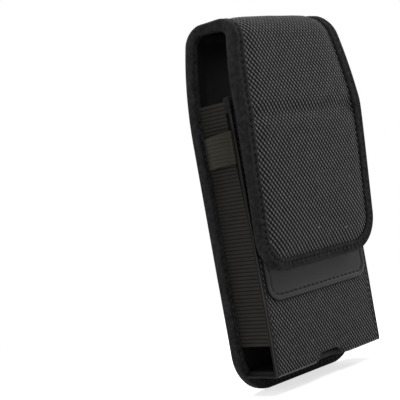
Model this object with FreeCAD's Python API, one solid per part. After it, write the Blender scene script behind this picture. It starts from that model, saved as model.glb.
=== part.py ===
"""Phone belt holster: a padded nylon pouch with a magnetic flap, elastic sides and a spring-steel belt clip.

Millimetres. +X is to the right seen from the flap side, +Y points to the wearer, +Z is up.
The origin is at the top of the clip's throat, in the middle of the gap that the belt fills.
The cloth that runs from the back over the top into the flap is one piece on the real object;
here it is parted at the fold, because the flap turns there.
"""

import FreeCAD
import Part
import math
import os

from FreeCAD import Vector

# Cloth, foam and tape
skin = 1.0  # ballistic nylon
padding = 2.8  # foam between the nylon and the lining
lining = 1.0
tape = 0.4  # binding tape, on each face and over the edge
binding_width = 4.8  # how far the tape reaches in from the edge
binding_bevel = 1.6
core_bevel = 1.2  # the padding is pressed in along the edge, under the tape

# Shell: the back panel and the flap share one outline with a narrower waist at the fold
shell_half_width = 45.8
shell_height = 182.0
waist_radius = 174.0
waist_drop = 56.0  # below the top, where the sides start to draw in
back_corner_radius = 20.0
flap_corner_radius = 13.0
fold_back_radius = 9.0
fold_front_radius = 13.0
flap_length = 125.3  # from the top of the fold to the flap's lower edge
flap_shoulder = 1.6  # the fold's front stands this far ahead of the flap's lower edge
flap_belly = 5.2  # and the fullest place this far
flap_belly_drop = 48.0  # below the top
flap_belly_radius = 190.0
flap_foot_gap = 0.3
hinge_drop = 12.0  # below the top, where the flap starts to turn
hinge_gap = 0.3

# Pouch front
flange_drop = 8.5  # the back panel reaches this far below the pouch
side_flange = 3.8  # the back panel stands this far out at each side of the pouch
front_height = 136.0
front_padding = 1.2
front_lining = 0.8
front_corner_radius = 4.0
front_side_wrap = 1.0
pocket_depth = 17.0
mouth_tape_depth = 8.0
mouth_round = 1.4
port_half_length = 9.75
port_rise = 4.6
port_reach = 6.0

# Closure patch and magnets
patch_thickness = 1.2
patch_side_gap = 3.0  # from the patch to the pouch's side
patch_overhang = 12.7  # the patch reaches this far below the flap's lower edge
patch_height = 60.0
patch_corner_radius = 8.0
magnet_radius = 8.0
magnet_thickness = 1.0
magnet_spacing = 36.0
magnet_rise = 15.8  # above the flap's lower edge

# Elastic sides
elastic_thickness = 1.4
elastic_bottom = 15.5
elastic_top_drop = 0.8  # below the mouth
loop_thickness = 1.2
loop_height = 15.5
loop_bottom = 103.5
loop_bow = 2.2
loop_foot = 1.6
loop_back_inset = 0.8

# Belt band and belt strap on the back
band_cloth = 1.2
band_hem = 0.6  # extra thickness where the band is folded over
band_hem_height = 10.0
band_top_drop = 43.5
band_height = 83.0
strap_half_width = 16.5
strap_cloth = 1.0
strap_sewn = 8.0
strap_rise_run = 7.0
strap_rise_radius = 3.4
strap_bend_lead = 0.5  # the outer layer bends this much before the inner one
belt_gap = 5.6  # between the raised strap and the band

# Belt clip, bent from one strip of spring steel
clip_thickness = 1.2
clip_half_width = 13.0
clip_top_drop = 59.0
clip_throat = 5.0  # between the strap's face and the clip's tongue
clip_top_flat = 0.4  # between the two bends over the belt
clip_tongue_length = 43.0
clip_tongue_lean = 0.5
clip_ridge_drop = 3.6
clip_ridge_reach = 3.4
clip_ridge_radius = 1.4
clip_knee_radius = 2.4
clip_lip_length = 8.4
clip_lip_flare = 3.6
clip_lip_corner = 3.0
clip_plate_length = 37.0
clip_slot_half_width = 6.4
clip_slot_length = 39.5
slit_clearance = 0.3

# Rivets through the strap and the clip's plate
rivet_drop = 13.3  # below the clip's top
rivet_spacing = 14.0
rivet_head_radius = 3.4
rivet_head_height = 1.5
rivet_shank_radius = 1.6
rivet_clearance = 0.1
rivet_tail_radius = 2.3
rivet_tail_height = 0.4
burr_radius = 3.4
burr_thickness = 0.6

# D-ring and its webbing tab
ring_wire_radius = 0.9
ring_half_width = 9.1  # to the middle of the wire
ring_leg = 4.0
ring_corner_radius = 1.6
ring_clearance = 0.05
tab_half_width = 7.3
tab_cloth = 0.5
tab_sewn = 5.2
tab_stand_off = 0.3  # between the band's edge and the tab's loop

# Widths
front_half_width = shell_half_width - side_flange
patch_half_width = front_half_width - patch_side_gap

# Heights
clip_top_z = clip_thickness
top_z = clip_top_z + clip_top_drop
bottom_z = top_z - shell_height
waist_z = top_z - waist_drop
hinge_z = top_z - hinge_drop
flap_belly_z = top_z - flap_belly_drop
pouch_z = bottom_z + flange_drop
mouth_z = pouch_z + front_height
flap_end_z = top_z - flap_length
band_top_z = top_z - band_top_drop
band_bottom_z = band_top_z - band_height

# Depths, from the belt towards the front
strap_face_y = -clip_throat / 2
plate_face_y = strap_face_y - strap_cloth
strap_back_face_y = plate_face_y - clip_thickness
strap_inner_y = strap_back_face_y - strap_cloth
band_face_y = strap_inner_y - belt_gap
back_face_y = band_face_y - band_cloth
hem_face_y = band_face_y + band_hem
panel_thickness = skin + padding + lining
pocket_back_y = back_face_y - panel_thickness
pocket_front_y = pocket_back_y - pocket_depth
front_thickness = skin + front_padding + front_lining
front_face_y = pocket_front_y - front_thickness
patch_face_y = front_face_y - patch_thickness
flap_end_face_y = patch_face_y - flap_foot_gap - tape - panel_thickness
flap_slope = flap_belly / (flap_belly_z - flap_end_z)

far = 200.0  # a length that reaches past the whole object


def line(a, b):
    return Part.LineSegment(a, b).toShape()


def box(x0, x1, y0, y1, z0, z1):
    return Part.makeBox(x1 - x0, y1 - y0, z1 - z0, Vector(x0, y0, z0))


def offset_points(points, distance):
    """An open line of (y, z) points moved to its left by a distance."""
    moved = []
    for i in range(len(points)):
        normals = []
        for j in (i - 1, i):
            if 0 <= j < len(points) - 1:
                dy = points[j + 1][0] - points[j][0]
                dz = points[j + 1][1] - points[j][1]
                length = math.hypot(dy, dz)
                normals.append((-dz / length, dy / length))
        ny = sum(n[0] for n in normals) / len(normals)
        nz = sum(n[1] for n in normals) / len(normals)
        scale = distance / (ny * ny + nz * nz)
        moved.append((points[i][0] + ny * scale, points[i][1] + nz * scale))
    return moved


def left_turn(a, b, c):
    """1 if the path a, b, c turns left, and -1 if it turns right."""
    cross = (b[0] - a[0]) * (c[1] - b[1]) - (b[1] - a[1]) * (c[0] - b[0])
    return 1 if cross > 0 else -1


def path_edges(points, radii, x):
    """Straight runs joined by tangent arcs; radii holds one value for each inner point."""
    edges = []
    start = points[0]
    for i in range(1, len(points) - 1):
        a, b, c = points[i - 1], points[i], points[i + 1]
        run_in = math.hypot(b[0] - a[0], b[1] - a[1])
        run_out = math.hypot(c[0] - b[0], c[1] - b[1])
        into = ((b[0] - a[0]) / run_in, (b[1] - a[1]) / run_in)
        out = ((c[0] - b[0]) / run_out, (c[1] - b[1]) / run_out)
        turn = math.acos(into[0] * out[0] + into[1] * out[1])
        radius = radii[i - 1]
        cut = radius * math.tan(turn / 2)
        first = (b[0] - into[0] * cut, b[1] - into[1] * cut)
        last = (b[0] + out[0] * cut, b[1] + out[1] * cut)
        bend = (out[0] - into[0], out[1] - into[1])
        size = math.hypot(bend[0], bend[1])
        reach = radius / math.cos(turn / 2) - radius
        middle = (b[0] + bend[0] / size * reach, b[1] + bend[1] / size * reach)
        edges.append(line(Vector(x, *start), Vector(x, *first)))
        edges.append(Part.Arc(Vector(x, *first), Vector(x, *middle), Vector(x, *last)).toShape())
        start = last
    edges.append(line(Vector(x, *start), Vector(x, *points[-1])))
    return edges


def sheet(points, radii, near, away, half_width):
    """A bent sheet across X: the (y, z) path from one offset to another, given to its left."""
    sides = []
    for distance in (near, away):
        turned = [
            radii[i] - distance * left_turn(*points[i : i + 3])
            for i in range(len(radii))
        ]
        sides.append(path_edges(offset_points(points, distance), turned, -half_width))
    ends = [
        line(sides[0][-1].Vertexes[-1].Point, sides[1][-1].Vertexes[-1].Point),
        line(sides[1][0].Vertexes[0].Point, sides[0][0].Vertexes[0].Point),
    ]
    outline = Part.Wire(Part.__sortEdges__(sides[0] + sides[1] + ends))
    return Part.Face(outline).extrude(Vector(2 * half_width, 0, 0))


def shell_prism(low_z, corner_radius, inset):
    """The shell's outline seen from the front, inset from its edge and drawn through in Y."""
    half = shell_half_width - inset
    low = low_z + inset
    radius = corner_radius - inset
    sweep = waist_radius - inset
    rise = waist_drop + 5.0
    lean = sweep - math.sqrt(sweep**2 - rise**2)
    half_rise = rise / 2
    half_lean = sweep - math.sqrt(sweep**2 - half_rise**2)
    slant = radius * (1 - math.sqrt(0.5))

    def at(x, z):
        return Vector(x, -far / 2, z)

    edges = [line(at(radius - half, low), at(half - radius, low))]
    for side in (1, -1):
        edges.append(
            Part.Arc(
                at(side * (half - radius), low),
                at(side * (half - slant), low + slant),
                at(side * half, low + radius),
            ).toShape()
        )
        edges.append(line(at(side * half, low + radius), at(side * half, waist_z)))
        edges.append(
            Part.Arc(
                at(side * half, waist_z),
                at(side * (half - half_lean), waist_z + half_rise),
                at(side * (half - lean), waist_z + rise),
            ).toShape()
        )
    edges.append(line(at(half - lean, waist_z + rise), at(lean - half, waist_z + rise)))
    outline = Part.Wire(Part.__sortEdges__(edges))
    return Part.Face(outline).extrude(Vector(0, far, 0))


def rounded_rim(solid, radius, keep):
    """The solid with the edges rounded that keep() picks."""
    edges = [e for e in solid.Edges if keep(e)]
    return solid.makeFillet(radius, edges)


def rounded_plate(x0, x1, z0, z1, y0, y1, radius):
    """A flat plate in the XZ plane with its four corners rounded."""
    plate = box(x0, x1, y0, y1, z0, z1)
    corners = [e for e in plate.Edges if abs(e.tangentAt(e.FirstParameter).y) > 0.9]
    return plate.makeFillet(radius, corners)


def stadium(half_length, half_height):
    """A rounded slot's face in the XY plane, round its own middle."""
    straight = half_length - half_height
    edges = []
    for side in (1, -1):
        edges.append(
            line(
                Vector(-straight, side * half_height, 0),
                Vector(straight, side * half_height, 0),
            )
        )
        edges.append(
            Part.Arc(
                Vector(side * straight, half_height, 0),
                Vector(side * half_length, 0, 0),
                Vector(side * straight, -half_height, 0),
            ).toShape()
        )
    return Part.Face(Part.Wire(Part.__sortEdges__(edges)))


def round_rod(edges, radius):
    """A round wire along straight and circular edges that follow each other."""
    spans = []
    for edge in edges:
        start = edge.valueAt(edge.FirstParameter)
        end = edge.valueAt(edge.LastParameter)
        way = edge.tangentAt(edge.FirstParameter)
        section = Part.Face(Part.Wire(Part.makeCircle(radius, start, way)))
        if isinstance(edge.Curve, Part.Circle):
            turn = math.degrees(edge.LastParameter - edge.FirstParameter)
            spans.append(section.revolve(edge.Curve.Center, edge.Curve.Axis, turn))
        else:
            spans.append(section.extrude(end - start))
    return spans[0].multiFuse(spans[1:]).removeSplitter()


parts = {}


# Back panel: nylon, foam and lining in one rounded core, with tape round its edge
def back_edge(edge):
    middle = edge.valueAt((edge.FirstParameter + edge.LastParameter) / 2)
    across = abs(edge.tangentAt(edge.FirstParameter).y) > 0.9
    return not across and middle.z < hinge_z - hinge_gap


back_slab = box(
    -far / 2, far / 2, pocket_back_y, back_face_y, bottom_z - 1, hinge_z - hinge_gap / 2
)
back_core = shell_prism(bottom_z, back_corner_radius, tape).common(back_slab)
back_core = back_core.makeChamfer(core_bevel, [e for e in back_core.Edges if back_edge(e)])
wrap_slab = box(
    -far / 2,
    far / 2,
    pocket_back_y - tape,
    back_face_y + tape,
    bottom_z - 1,
    hinge_z - hinge_gap / 2,
)
back_wrap = shell_prism(bottom_z, back_corner_radius, 0).common(wrap_slab)
back_wrap = back_wrap.makeChamfer(binding_bevel, [e for e in back_wrap.Edges if back_edge(e)])


def layer(core, y0, y1):
    return core.common(box(-far / 2, far / 2, y0, y1, -far, far))


parts["back_nylon"] = layer(back_core, back_face_y - skin, back_face_y)
parts["back_foam"] = layer(back_core, pocket_back_y + lining, back_face_y - skin)
parts["back_lining"] = layer(back_core, pocket_back_y, pocket_back_y + lining)
parts["back_binding"] = back_wrap.cut(back_core).cut(
    shell_prism(bottom_z, back_corner_radius, binding_width)
)

# Flap: the same layers carried over the fold and down the front
flap_past_end = 5.0
flap_path = [
    (back_face_y, hinge_z + hinge_gap / 2),
    (back_face_y, top_z),
    (flap_end_face_y - flap_shoulder, top_z),
    (flap_end_face_y - flap_belly, flap_belly_z),
    (flap_end_face_y + flap_past_end * flap_slope, flap_end_z - flap_past_end),
]
flap_radii = [fold_back_radius, fold_front_radius, flap_belly_radius]


def flap_sheet(outer, inner):
    return sheet(flap_path, flap_radii, outer, inner, far / 2)


flap_core = flap_sheet(0, panel_thickness).common(
    shell_prism(flap_end_z, flap_corner_radius, tape)
)
flap_wrap = flap_sheet(-tape, panel_thickness + tape).common(
    shell_prism(flap_end_z, flap_corner_radius, 0)
)
flap_magnets = []
patch_magnets = []
for side in (-1, 1):
    for thickness, face_y, found in (
        (magnet_thickness, flap_end_face_y, flap_magnets),
        (magnet_thickness, front_face_y, patch_magnets),
    ):
        found.append(
            Part.makeCylinder(
                magnet_radius,
                thickness,
                Vector(side * magnet_spacing / 2, 0, 0),
                Vector(0, 1, 0),
            )
        )
flap_foam = flap_core.common(flap_sheet(skin, skin + padding))
front_foam = box(
    front_side_wrap - front_half_width,
    front_half_width - front_side_wrap,
    front_face_y + skin,
    front_face_y + skin + front_padding,
    pouch_z + front_corner_radius,
    mouth_z - tape,
)
for number, name in enumerate(("left", "right")):
    z = flap_end_z + magnet_rise
    up_flap = (z - flap_end_z) * flap_slope
    flap_magnet = flap_magnets[number]
    flap_magnet.rotate(Vector(0, 0, 0), Vector(1, 0, 0), math.degrees(math.atan(flap_slope)))
    seat_y = flap_end_face_y - up_flap + skin + padding / 2
    flap_magnet.translate(Vector(0, seat_y - magnet_thickness / 2, z))
    patch_magnet = patch_magnets[number]
    patch_magnet.translate(Vector(0, front_face_y + skin, z))
    parts["flap_magnet_" + name] = flap_magnet
    parts["patch_magnet_" + name] = patch_magnet
    flap_foam = flap_foam.cut(flap_magnet)
    front_foam = front_foam.cut(patch_magnet)

parts["flap_nylon"] = flap_core.common(flap_sheet(0, skin))
parts["flap_foam"] = flap_foam
parts["flap_lining"] = flap_core.common(flap_sheet(skin + padding, panel_thickness))
parts["flap_binding"] = flap_wrap.cut(flap_core).cut(
    shell_prism(flap_end_z, flap_corner_radius, binding_width)
)

# Pouch front: one piece of nylon down the front and under the bottom, lined inside
front_path = [
    (front_face_y, mouth_z - tape),
    (front_face_y, pouch_z),
    (pocket_back_y, pouch_z),
]
port_front = stadium(port_half_length, port_rise).extrude(Vector(0, 0, far))
port_front.rotate(Vector(0, 0, 0), Vector(1, 0, 0), -90)
port_front.translate(Vector(0, front_face_y - far / 2, pouch_z))
port_floor = stadium(port_half_length, port_reach).extrude(Vector(0, 0, far))
port_floor.translate(Vector(0, front_face_y, pouch_z - far / 2))
port = port_front.common(port_floor)

front_nylon = sheet(front_path, [front_corner_radius], 0, skin, front_half_width)
for side in (-1, 1):
    outer = side * front_half_width
    inner = outer - side * front_side_wrap
    front_nylon = front_nylon.fuse(
        box(
            min(outer, inner),
            max(outer, inner),
            front_face_y + skin,
            pocket_front_y,
            pouch_z + front_corner_radius,
            mouth_z - tape,
        )
    )
front_nylon = front_nylon.removeSplitter()
front_nylon = rounded_rim(
    front_nylon,
    skin * 0.8,
    lambda e: (
        abs(e.tangentAt(e.FirstParameter).z) > 0.99
        and abs(abs(e.Vertexes[0].Point.x) - front_half_width) < 0.01
        and abs(e.Vertexes[0].Point.y - front_face_y) < 0.01
    ),
)
mouth_bottom_z = mouth_z - mouth_tape_depth


def mouth_bar(inset):
    """The top of the front wall with its rim rounded, from the tape's outside to its inside."""
    bar = box(
        -front_half_width,
        front_half_width,
        front_face_y - tape + inset,
        pocket_front_y + tape - inset,
        mouth_bottom_z,
        mouth_z - inset,
    )
    return rounded_rim(
        bar,
        mouth_round - inset,
        lambda e: (
            abs(e.tangentAt(e.FirstParameter).x) > 0.9
            and e.Vertexes[0].Point.z > mouth_z - inset - 0.01
        ),
    )


mouth_waste = box(
    -far / 2, far / 2, front_face_y - 1, pocket_front_y + 1, mouth_bottom_z, mouth_z
).cut(mouth_bar(tape))
back_binding = parts["back_binding"]
parts["front_nylon"] = front_nylon.cut(port).cut(mouth_waste).cut(back_binding)
parts["front_foam"] = front_foam.cut(mouth_waste)
inside = front_half_width - front_side_wrap
lining_wall = box(
    -inside, inside, pocket_front_y - front_lining, pocket_front_y, pouch_z + skin, mouth_z - tape
)
lining_floor = box(
    -inside,
    inside,
    pocket_front_y - front_lining,
    pocket_back_y,
    pouch_z + skin,
    pouch_z + skin + front_lining,
)
front_lining = lining_wall.fuse(lining_floor).removeSplitter().cut(parts["front_nylon"])
parts["front_lining"] = front_lining.cut(port).cut(mouth_waste).cut(back_binding)

# Elastic sides, seated between the front and the back
elastics = []
for side, name in ((-1, "left"), (1, "right")):
    outer = side * front_half_width
    inner = outer - side * elastic_thickness
    elastic = box(
        min(outer, inner),
        max(outer, inner),
        pocket_front_y,
        pocket_back_y,
        pouch_z + elastic_bottom,
        mouth_z - elastic_top_drop,
    )
    elastics.append(elastic.cut(back_binding))
    parts["elastic_" + name] = elastics[-1]

# Tape over the pouch's mouth, cut clear of the elastics
mouth_tape = mouth_bar(0).cut(mouth_bar(tape))
for elastic in elastics:
    mouth_tape = mouth_tape.cut(elastic)
parts["mouth_binding"] = mouth_tape

# Pen loop: a short length of the same webbing, bowed over the left elastic
loop_back_y = pocket_back_y - loop_back_inset
loop_middle_y = (loop_back_y + pocket_front_y) / 2
loop_x = -front_half_width


def loop_wire(out):
    """The loop's section: two flat feet joined by a bow, as far out as given."""
    z = pouch_z + loop_bottom
    shelf = loop_x - loop_thickness if out else loop_x
    crown = shelf - loop_bow
    back = Vector(shelf, loop_back_y - loop_foot, z)
    front = Vector(shelf, pocket_front_y + loop_foot, z)
    return [
        line(Vector(shelf, loop_back_y, z), back),
        Part.Arc(back, Vector(crown, loop_middle_y, z), front).toShape(),
        line(front, Vector(shelf, pocket_front_y, z)),
    ]


loop_edges = loop_wire(False) + loop_wire(True)
for y in (loop_back_y, pocket_front_y):
    loop_edges.append(
        line(
            Vector(loop_x, y, pouch_z + loop_bottom),
            Vector(loop_x - loop_thickness, y, pouch_z + loop_bottom),
        )
    )
loop_face = Part.Face(Part.Wire(Part.__sortEdges__(loop_edges)))
parts["pen_loop"] = loop_face.extrude(Vector(0, 0, loop_height))

# Closure patch on the pouch front, under the flap
parts["closure_patch"] = rounded_plate(
    -patch_half_width,
    patch_half_width,
    flap_end_z - patch_overhang,
    flap_end_z - patch_overhang + patch_height,
    patch_face_y,
    front_face_y,
    patch_corner_radius,
)

# Belt band: sewn across the back, hemmed along its top and bottom
band_prism = shell_prism(bottom_z, back_corner_radius, binding_width)
band = band_prism.common(
    box(-far / 2, far / 2, back_face_y, band_face_y, band_bottom_z, band_top_z)
)
for low_z in (band_bottom_z, band_top_z - band_hem_height):
    hem = band_prism.common(
        box(-far / 2, far / 2, band_face_y, hem_face_y, low_z, low_z + band_hem_height)
    )
    band = band.fuse(hem)
parts["belt_band"] = band.removeSplitter()

# Belt strap: two layers of cloth with the clip's plate between them, sewn down at both ends
strap_rise_top_z = band_top_z - strap_sewn
strap_rise_end_z = strap_rise_top_z - strap_rise_run
strap_fall_end_z = band_bottom_z + strap_sewn
strap_fall_top_z = strap_fall_end_z + strap_rise_run
strap_seat_y = hem_face_y + strap_cloth / 2


def strap_layer(seat_y, raised_y, start_z, lead):
    """A layer of the strap: seated, raised off the band, and seated again."""
    path = [
        (seat_y, start_z),
        (seat_y, strap_rise_top_z + lead),
        (raised_y, strap_rise_end_z + lead),
        (raised_y, strap_fall_top_z - lead),
        (seat_y, strap_fall_end_z - lead),
        (seat_y, band_bottom_z),
    ]
    radii = [strap_rise_radius] * 4
    return sheet(path, radii, -strap_cloth / 2, strap_cloth / 2, strap_half_width)


strap_back_top_z = band_top_z - tab_sewn
clip_bend_radius = (clip_throat + strap_cloth + clip_thickness - clip_top_flat) / 2
clip_slit = box(
    -clip_half_width - slit_clearance,
    clip_half_width + slit_clearance,
    plate_face_y - strap_cloth,
    strap_face_y + strap_cloth,
    -clip_bend_radius - slit_clearance,
    clip_top_z + slit_clearance,
)
strap_front = strap_layer(
    strap_seat_y + strap_cloth, plate_face_y + strap_cloth / 2, band_top_z, strap_bend_lead
).cut(clip_slit)
strap_back = strap_layer(
    strap_seat_y, strap_inner_y + strap_cloth / 2, strap_back_top_z, 0
)

# Belt clip
half_strip = clip_thickness / 2
plate_mid_y = strap_back_face_y + half_strip
tongue_mid_y = strap_face_y + clip_throat + half_strip
bend_top_z = clip_top_z - half_strip
tongue_end_z = clip_top_z - clip_tongue_length
ridge_z = tongue_end_z - clip_ridge_drop
lip_end_z = ridge_z - clip_lip_length
tongue_end_y = tongue_mid_y - clip_tongue_lean
ridge_y = tongue_end_y - clip_ridge_reach
clip_path = [
    (plate_mid_y, clip_top_z - clip_plate_length),
    (plate_mid_y, bend_top_z),
    (tongue_mid_y, bend_top_z),
    (tongue_end_y, tongue_end_z),
    (ridge_y, ridge_z),
    (ridge_y + clip_lip_flare, lip_end_z),
]
clip_radii = [clip_bend_radius, clip_bend_radius, clip_knee_radius, clip_ridge_radius]
clip = sheet(clip_path, clip_radii, -half_strip, half_strip, clip_half_width)
slot = stadium(clip_slot_length, clip_slot_half_width)
slot = slot.extrude(Vector(0, 0, clip_throat + 3 * clip_thickness))
slot.rotate(Vector(0, 0, 0), Vector(0, 0, 1), 90)
slot.rotate(Vector(0, 0, 0), Vector(1, 0, 0), 90)
slot.translate(Vector(0, plate_mid_y + half_strip + clip_throat + 3 * clip_thickness, clip_top_z))
clip = clip.cut(slot)
lip_corners = []
for edge in clip.Edges:
    points = [v.Point for v in edge.Vertexes]
    at_lip = all(p.z < lip_end_z + 1.0 for p in points)
    at_side = all(abs(abs(p.x) - clip_half_width) < 0.01 for p in points)
    if at_lip and at_side and len(points) == 2 and edge.Length < clip_thickness * 1.2:
        lip_corners.append(edge)
clip = clip.makeFillet(clip_lip_corner, lip_corners)

# Rivets and the burrs behind the strap
rivet_z = [clip_top_z - rivet_drop, clip_top_z - rivet_drop - rivet_spacing]
for name, z in zip(("upper", "lower"), rivet_z):
    cap_radius = (rivet_head_radius**2 + rivet_head_height**2) / (2 * rivet_head_height)
    head = Part.makeSphere(cap_radius, Vector(0, strap_face_y + rivet_head_height - cap_radius, z))
    head = head.common(box(-far, far, strap_face_y, far, z - far, z + far))
    burr_face_y = strap_inner_y - burr_thickness
    tail_end_y = burr_face_y - rivet_tail_height
    shank = Part.makeCylinder(
        rivet_shank_radius, strap_face_y - tail_end_y, Vector(0, tail_end_y, z), Vector(0, 1, 0)
    )
    tail = Part.makeCylinder(
        rivet_tail_radius, rivet_tail_height, Vector(0, tail_end_y, z), Vector(0, 1, 0)
    )
    parts["clip_rivet_" + name] = head.fuse(shank).fuse(tail).removeSplitter()
    hole = Part.makeCylinder(
        rivet_shank_radius + rivet_clearance, far, Vector(0, -far / 2, z), Vector(0, 1, 0)
    )
    burr = Part.makeCylinder(
        burr_radius, burr_thickness, Vector(0, burr_face_y, z), Vector(0, 1, 0)
    )
    parts["rivet_burr_" + name] = burr.cut(hole)
    clip = clip.cut(hole)
    strap_front = strap_front.cut(hole)
    strap_back = strap_back.cut(hole)
parts["belt_clip"] = clip
parts["strap_front"] = strap_front
parts["strap_back"] = strap_back

# Webbing tab: both tails under the strap, with a loop round the ring's bar
tab_bore = ring_wire_radius + ring_clearance
tab_outer = tab_bore + tab_cloth
ring_y = hem_face_y + tab_cloth
ring_z = band_top_z + tab_stand_off + tab_outer
tab_loop = Part.makeCylinder(
    tab_outer, 2 * tab_half_width, Vector(-tab_half_width, ring_y, ring_z), Vector(1, 0, 0)
)
tab_tails = box(
    -tab_half_width, tab_half_width, ring_y - tab_cloth, ring_y + tab_cloth, band_top_z - tab_sewn, ring_z
)
tab_hole = Part.makeCylinder(
    tab_bore, 2 * tab_half_width + 2, Vector(-tab_half_width - 1, ring_y, ring_z), Vector(1, 0, 0)
)
parts["ring_tab"] = tab_loop.fuse(tab_tails).removeSplitter().cut(tab_hole)

# D-ring: a straight bar closed by a half-round bow
ring_path = [
    (-ring_half_width, ring_leg),
    (-ring_half_width, 0),
    (ring_half_width, 0),
    (ring_half_width, ring_leg),
]
ring_edges = path_edges(ring_path, [ring_corner_radius, ring_corner_radius], 0)
ring_edges.append(
    Part.Arc(
        Vector(0, ring_half_width, ring_leg),
        Vector(0, 0, ring_leg + ring_half_width),
        Vector(0, -ring_half_width, ring_leg),
    ).toShape()
)
ring = round_rod(ring_edges, ring_wire_radius)
ring.rotate(Vector(0, 0, 0), Vector(0, 0, 1), -90)
ring.translate(Vector(0, ring_y, ring_z))
parts["d_ring"] = ring

os.makedirs("parts", exist_ok=True)
for name, shape in parts.items():
    shape.exportStep(f"parts/{name}.step")
    print(name, len(shape.Solids), round(shape.Volume, 1), shape.isValid())
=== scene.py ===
import math

import bmesh
import bpy
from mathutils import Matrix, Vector


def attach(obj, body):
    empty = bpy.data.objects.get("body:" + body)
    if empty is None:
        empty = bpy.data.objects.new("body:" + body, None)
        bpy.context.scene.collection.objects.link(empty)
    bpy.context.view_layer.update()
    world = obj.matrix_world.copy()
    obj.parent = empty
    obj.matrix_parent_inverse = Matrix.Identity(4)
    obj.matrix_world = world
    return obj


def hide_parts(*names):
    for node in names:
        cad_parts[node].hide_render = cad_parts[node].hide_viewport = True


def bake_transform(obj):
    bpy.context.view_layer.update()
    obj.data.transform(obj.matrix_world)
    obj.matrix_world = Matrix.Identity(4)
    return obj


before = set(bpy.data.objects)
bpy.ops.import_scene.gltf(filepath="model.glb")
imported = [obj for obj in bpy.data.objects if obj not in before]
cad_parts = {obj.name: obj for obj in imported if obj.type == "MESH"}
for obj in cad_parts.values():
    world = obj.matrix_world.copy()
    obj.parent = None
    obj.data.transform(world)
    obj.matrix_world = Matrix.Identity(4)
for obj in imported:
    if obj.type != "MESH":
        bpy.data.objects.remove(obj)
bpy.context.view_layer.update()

mm = 0.001

# Camera: the place and turn that the photo's straight edges give
cameraFit = dict(
    place=(-424.35, -391.59, -15.42),  # mm
    azimuth=-44.84, elevation=0.86, roll=-10.19,  # degrees
    focal=1100.0, imageWidth=400.0,  # pixels
    sensor=36.0,
)


def linked(name, data):  # an object for it, in the scene
    thing = bpy.data.objects.new(name, data)
    bpy.context.scene.collection.objects.link(thing)
    return thing


def placeCamera(fit):
    az, el, roll = (math.radians(fit[k]) for k in ("azimuth", "elevation", "roll"))
    back = Vector((math.sin(az) * math.cos(el), -math.cos(az) * math.cos(el), math.sin(el)))
    level = (-back).cross(Vector((0, 0, 1))).normalized()
    upright = level.cross(-back)
    right = level * math.cos(roll) + upright * math.sin(roll)
    up = upright * math.cos(roll) - level * math.sin(roll)
    data = bpy.data.cameras.new("photoCamera")
    data.sensor_width = fit["sensor"]
    data.lens = fit["focal"] / fit["imageWidth"] * fit["sensor"]
    data.clip_start, data.clip_end = 0.01, 50
    camera = linked("photoCamera", data)
    turned = camera.matrix_world.to_3x3()
    turned.col[0], turned.col[1], turned.col[2] = right, up, back
    camera.matrix_world = turned.to_4x4()
    camera.location = Vector(fit["place"]) * mm
    bpy.context.scene.camera = camera


placeCamera(cameraFit)
print("camera placed")

# Paths, flat plans and the slabs that are bent along them


def bentPath(points, radii):  # (y, z) corners joined by arcs: gives the place and left side at a length
    spans, start, length = [], points[0], 0.0
    for k in range(1, len(points)):
        a, b = points[k - 1], points[k]
        run = math.dist(a, b)
        way = ((b[0] - a[0]) / run, (b[1] - a[1]) / run)
        spans.append((length, start, way, 0.0, 1))
        if k == len(points) - 1:
            length += math.dist(start, b)
            break
        c, radius = points[k + 1], radii[k - 1]
        runOut = math.dist(b, c)
        out = ((c[0] - b[0]) / runOut, (c[1] - b[1]) / runOut)
        turn = math.acos(way[0] * out[0] + way[1] * out[1])
        side = 1 if way[0] * out[1] > way[1] * out[0] else -1
        cut = radius * math.tan(turn / 2)
        stop = (b[0] - way[0] * cut, b[1] - way[1] * cut)
        length += math.dist(start, stop)
        spans.append((length, stop, way, radius, side))
        length += radius * turn
        start = (b[0] + out[0] * cut, b[1] + out[1] * cut)

    def at(s):
        span = spans[0]
        for other in spans[1:]:
            if s >= other[0]:
                span = other
        s0, (y, z), (dy, dz), radius, side = span
        if radius == 0:
            return y + dy * (s - s0), z + dz * (s - s0), -dz, dy
        angle = side * (s - s0) / radius
        ty = dy * math.cos(angle) - dz * math.sin(angle)
        tz = dy * math.sin(angle) + dz * math.cos(angle)
        bend = radius * side
        return y - dz * bend + tz * bend, z + dy * bend - ty * bend, -tz, ty

    return at, length


def along(at):  # turns a plan's (x, s) and a depth to the path's left into a point in metres
    def place(x, s, depth):
        y, z, ny, nz = at(s)
        return Vector((x, y + ny * depth, z + nz * depth)) * mm
    return place


def lengthWhere(at, measure, low, high):  # where a measure of (y, z) crosses zero along a path
    rising = measure(*at(high)[:2]) > 0
    for _ in range(40):
        middle = (low + high) / 2
        if (measure(*at(middle)[:2]) > 0) == rising:
            high = middle
        else:
            low = middle
    return low


def spaced(low, high, step):
    count = max(1, math.ceil(abs(high - low) / step))
    return [low + (high - low) * k / count for k in range(count + 1)]


def stepped(*stops):  # a start, then a step and its end, as often as wanted
    line = []
    for low, step, high in zip(stops[::2], stops[1::2], stops[2::2]):
        line += spaced(low, high, step)
    return sorted(set(line))


def ringAngles(count):  # a full turn
    return [2 * math.pi * k / count for k in range(count)]


def turnsOf(low, high, step):  # whole degrees, the last one left out
    return [math.radians(a) for a in range(low, high, step)]


def ringQuads(rings, size, closed=False):  # faces between rings of points that follow each other
    return [
        [i * size + k, i * size + (k + 1) % size, (i + 1) % rings * size + (k + 1) % size, (i + 1) % rings * size + k]
        for i in range(rings if closed else rings - 1) for k in range(size)
    ]


def smooth(t):
    t = min(1.0, max(0.0, t))
    return t * t * (3 - 2 * t)


def ridge(off, wide):  # 1 in the middle, fading to both sides
    return math.exp(-(off / wide) ** 2)


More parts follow.
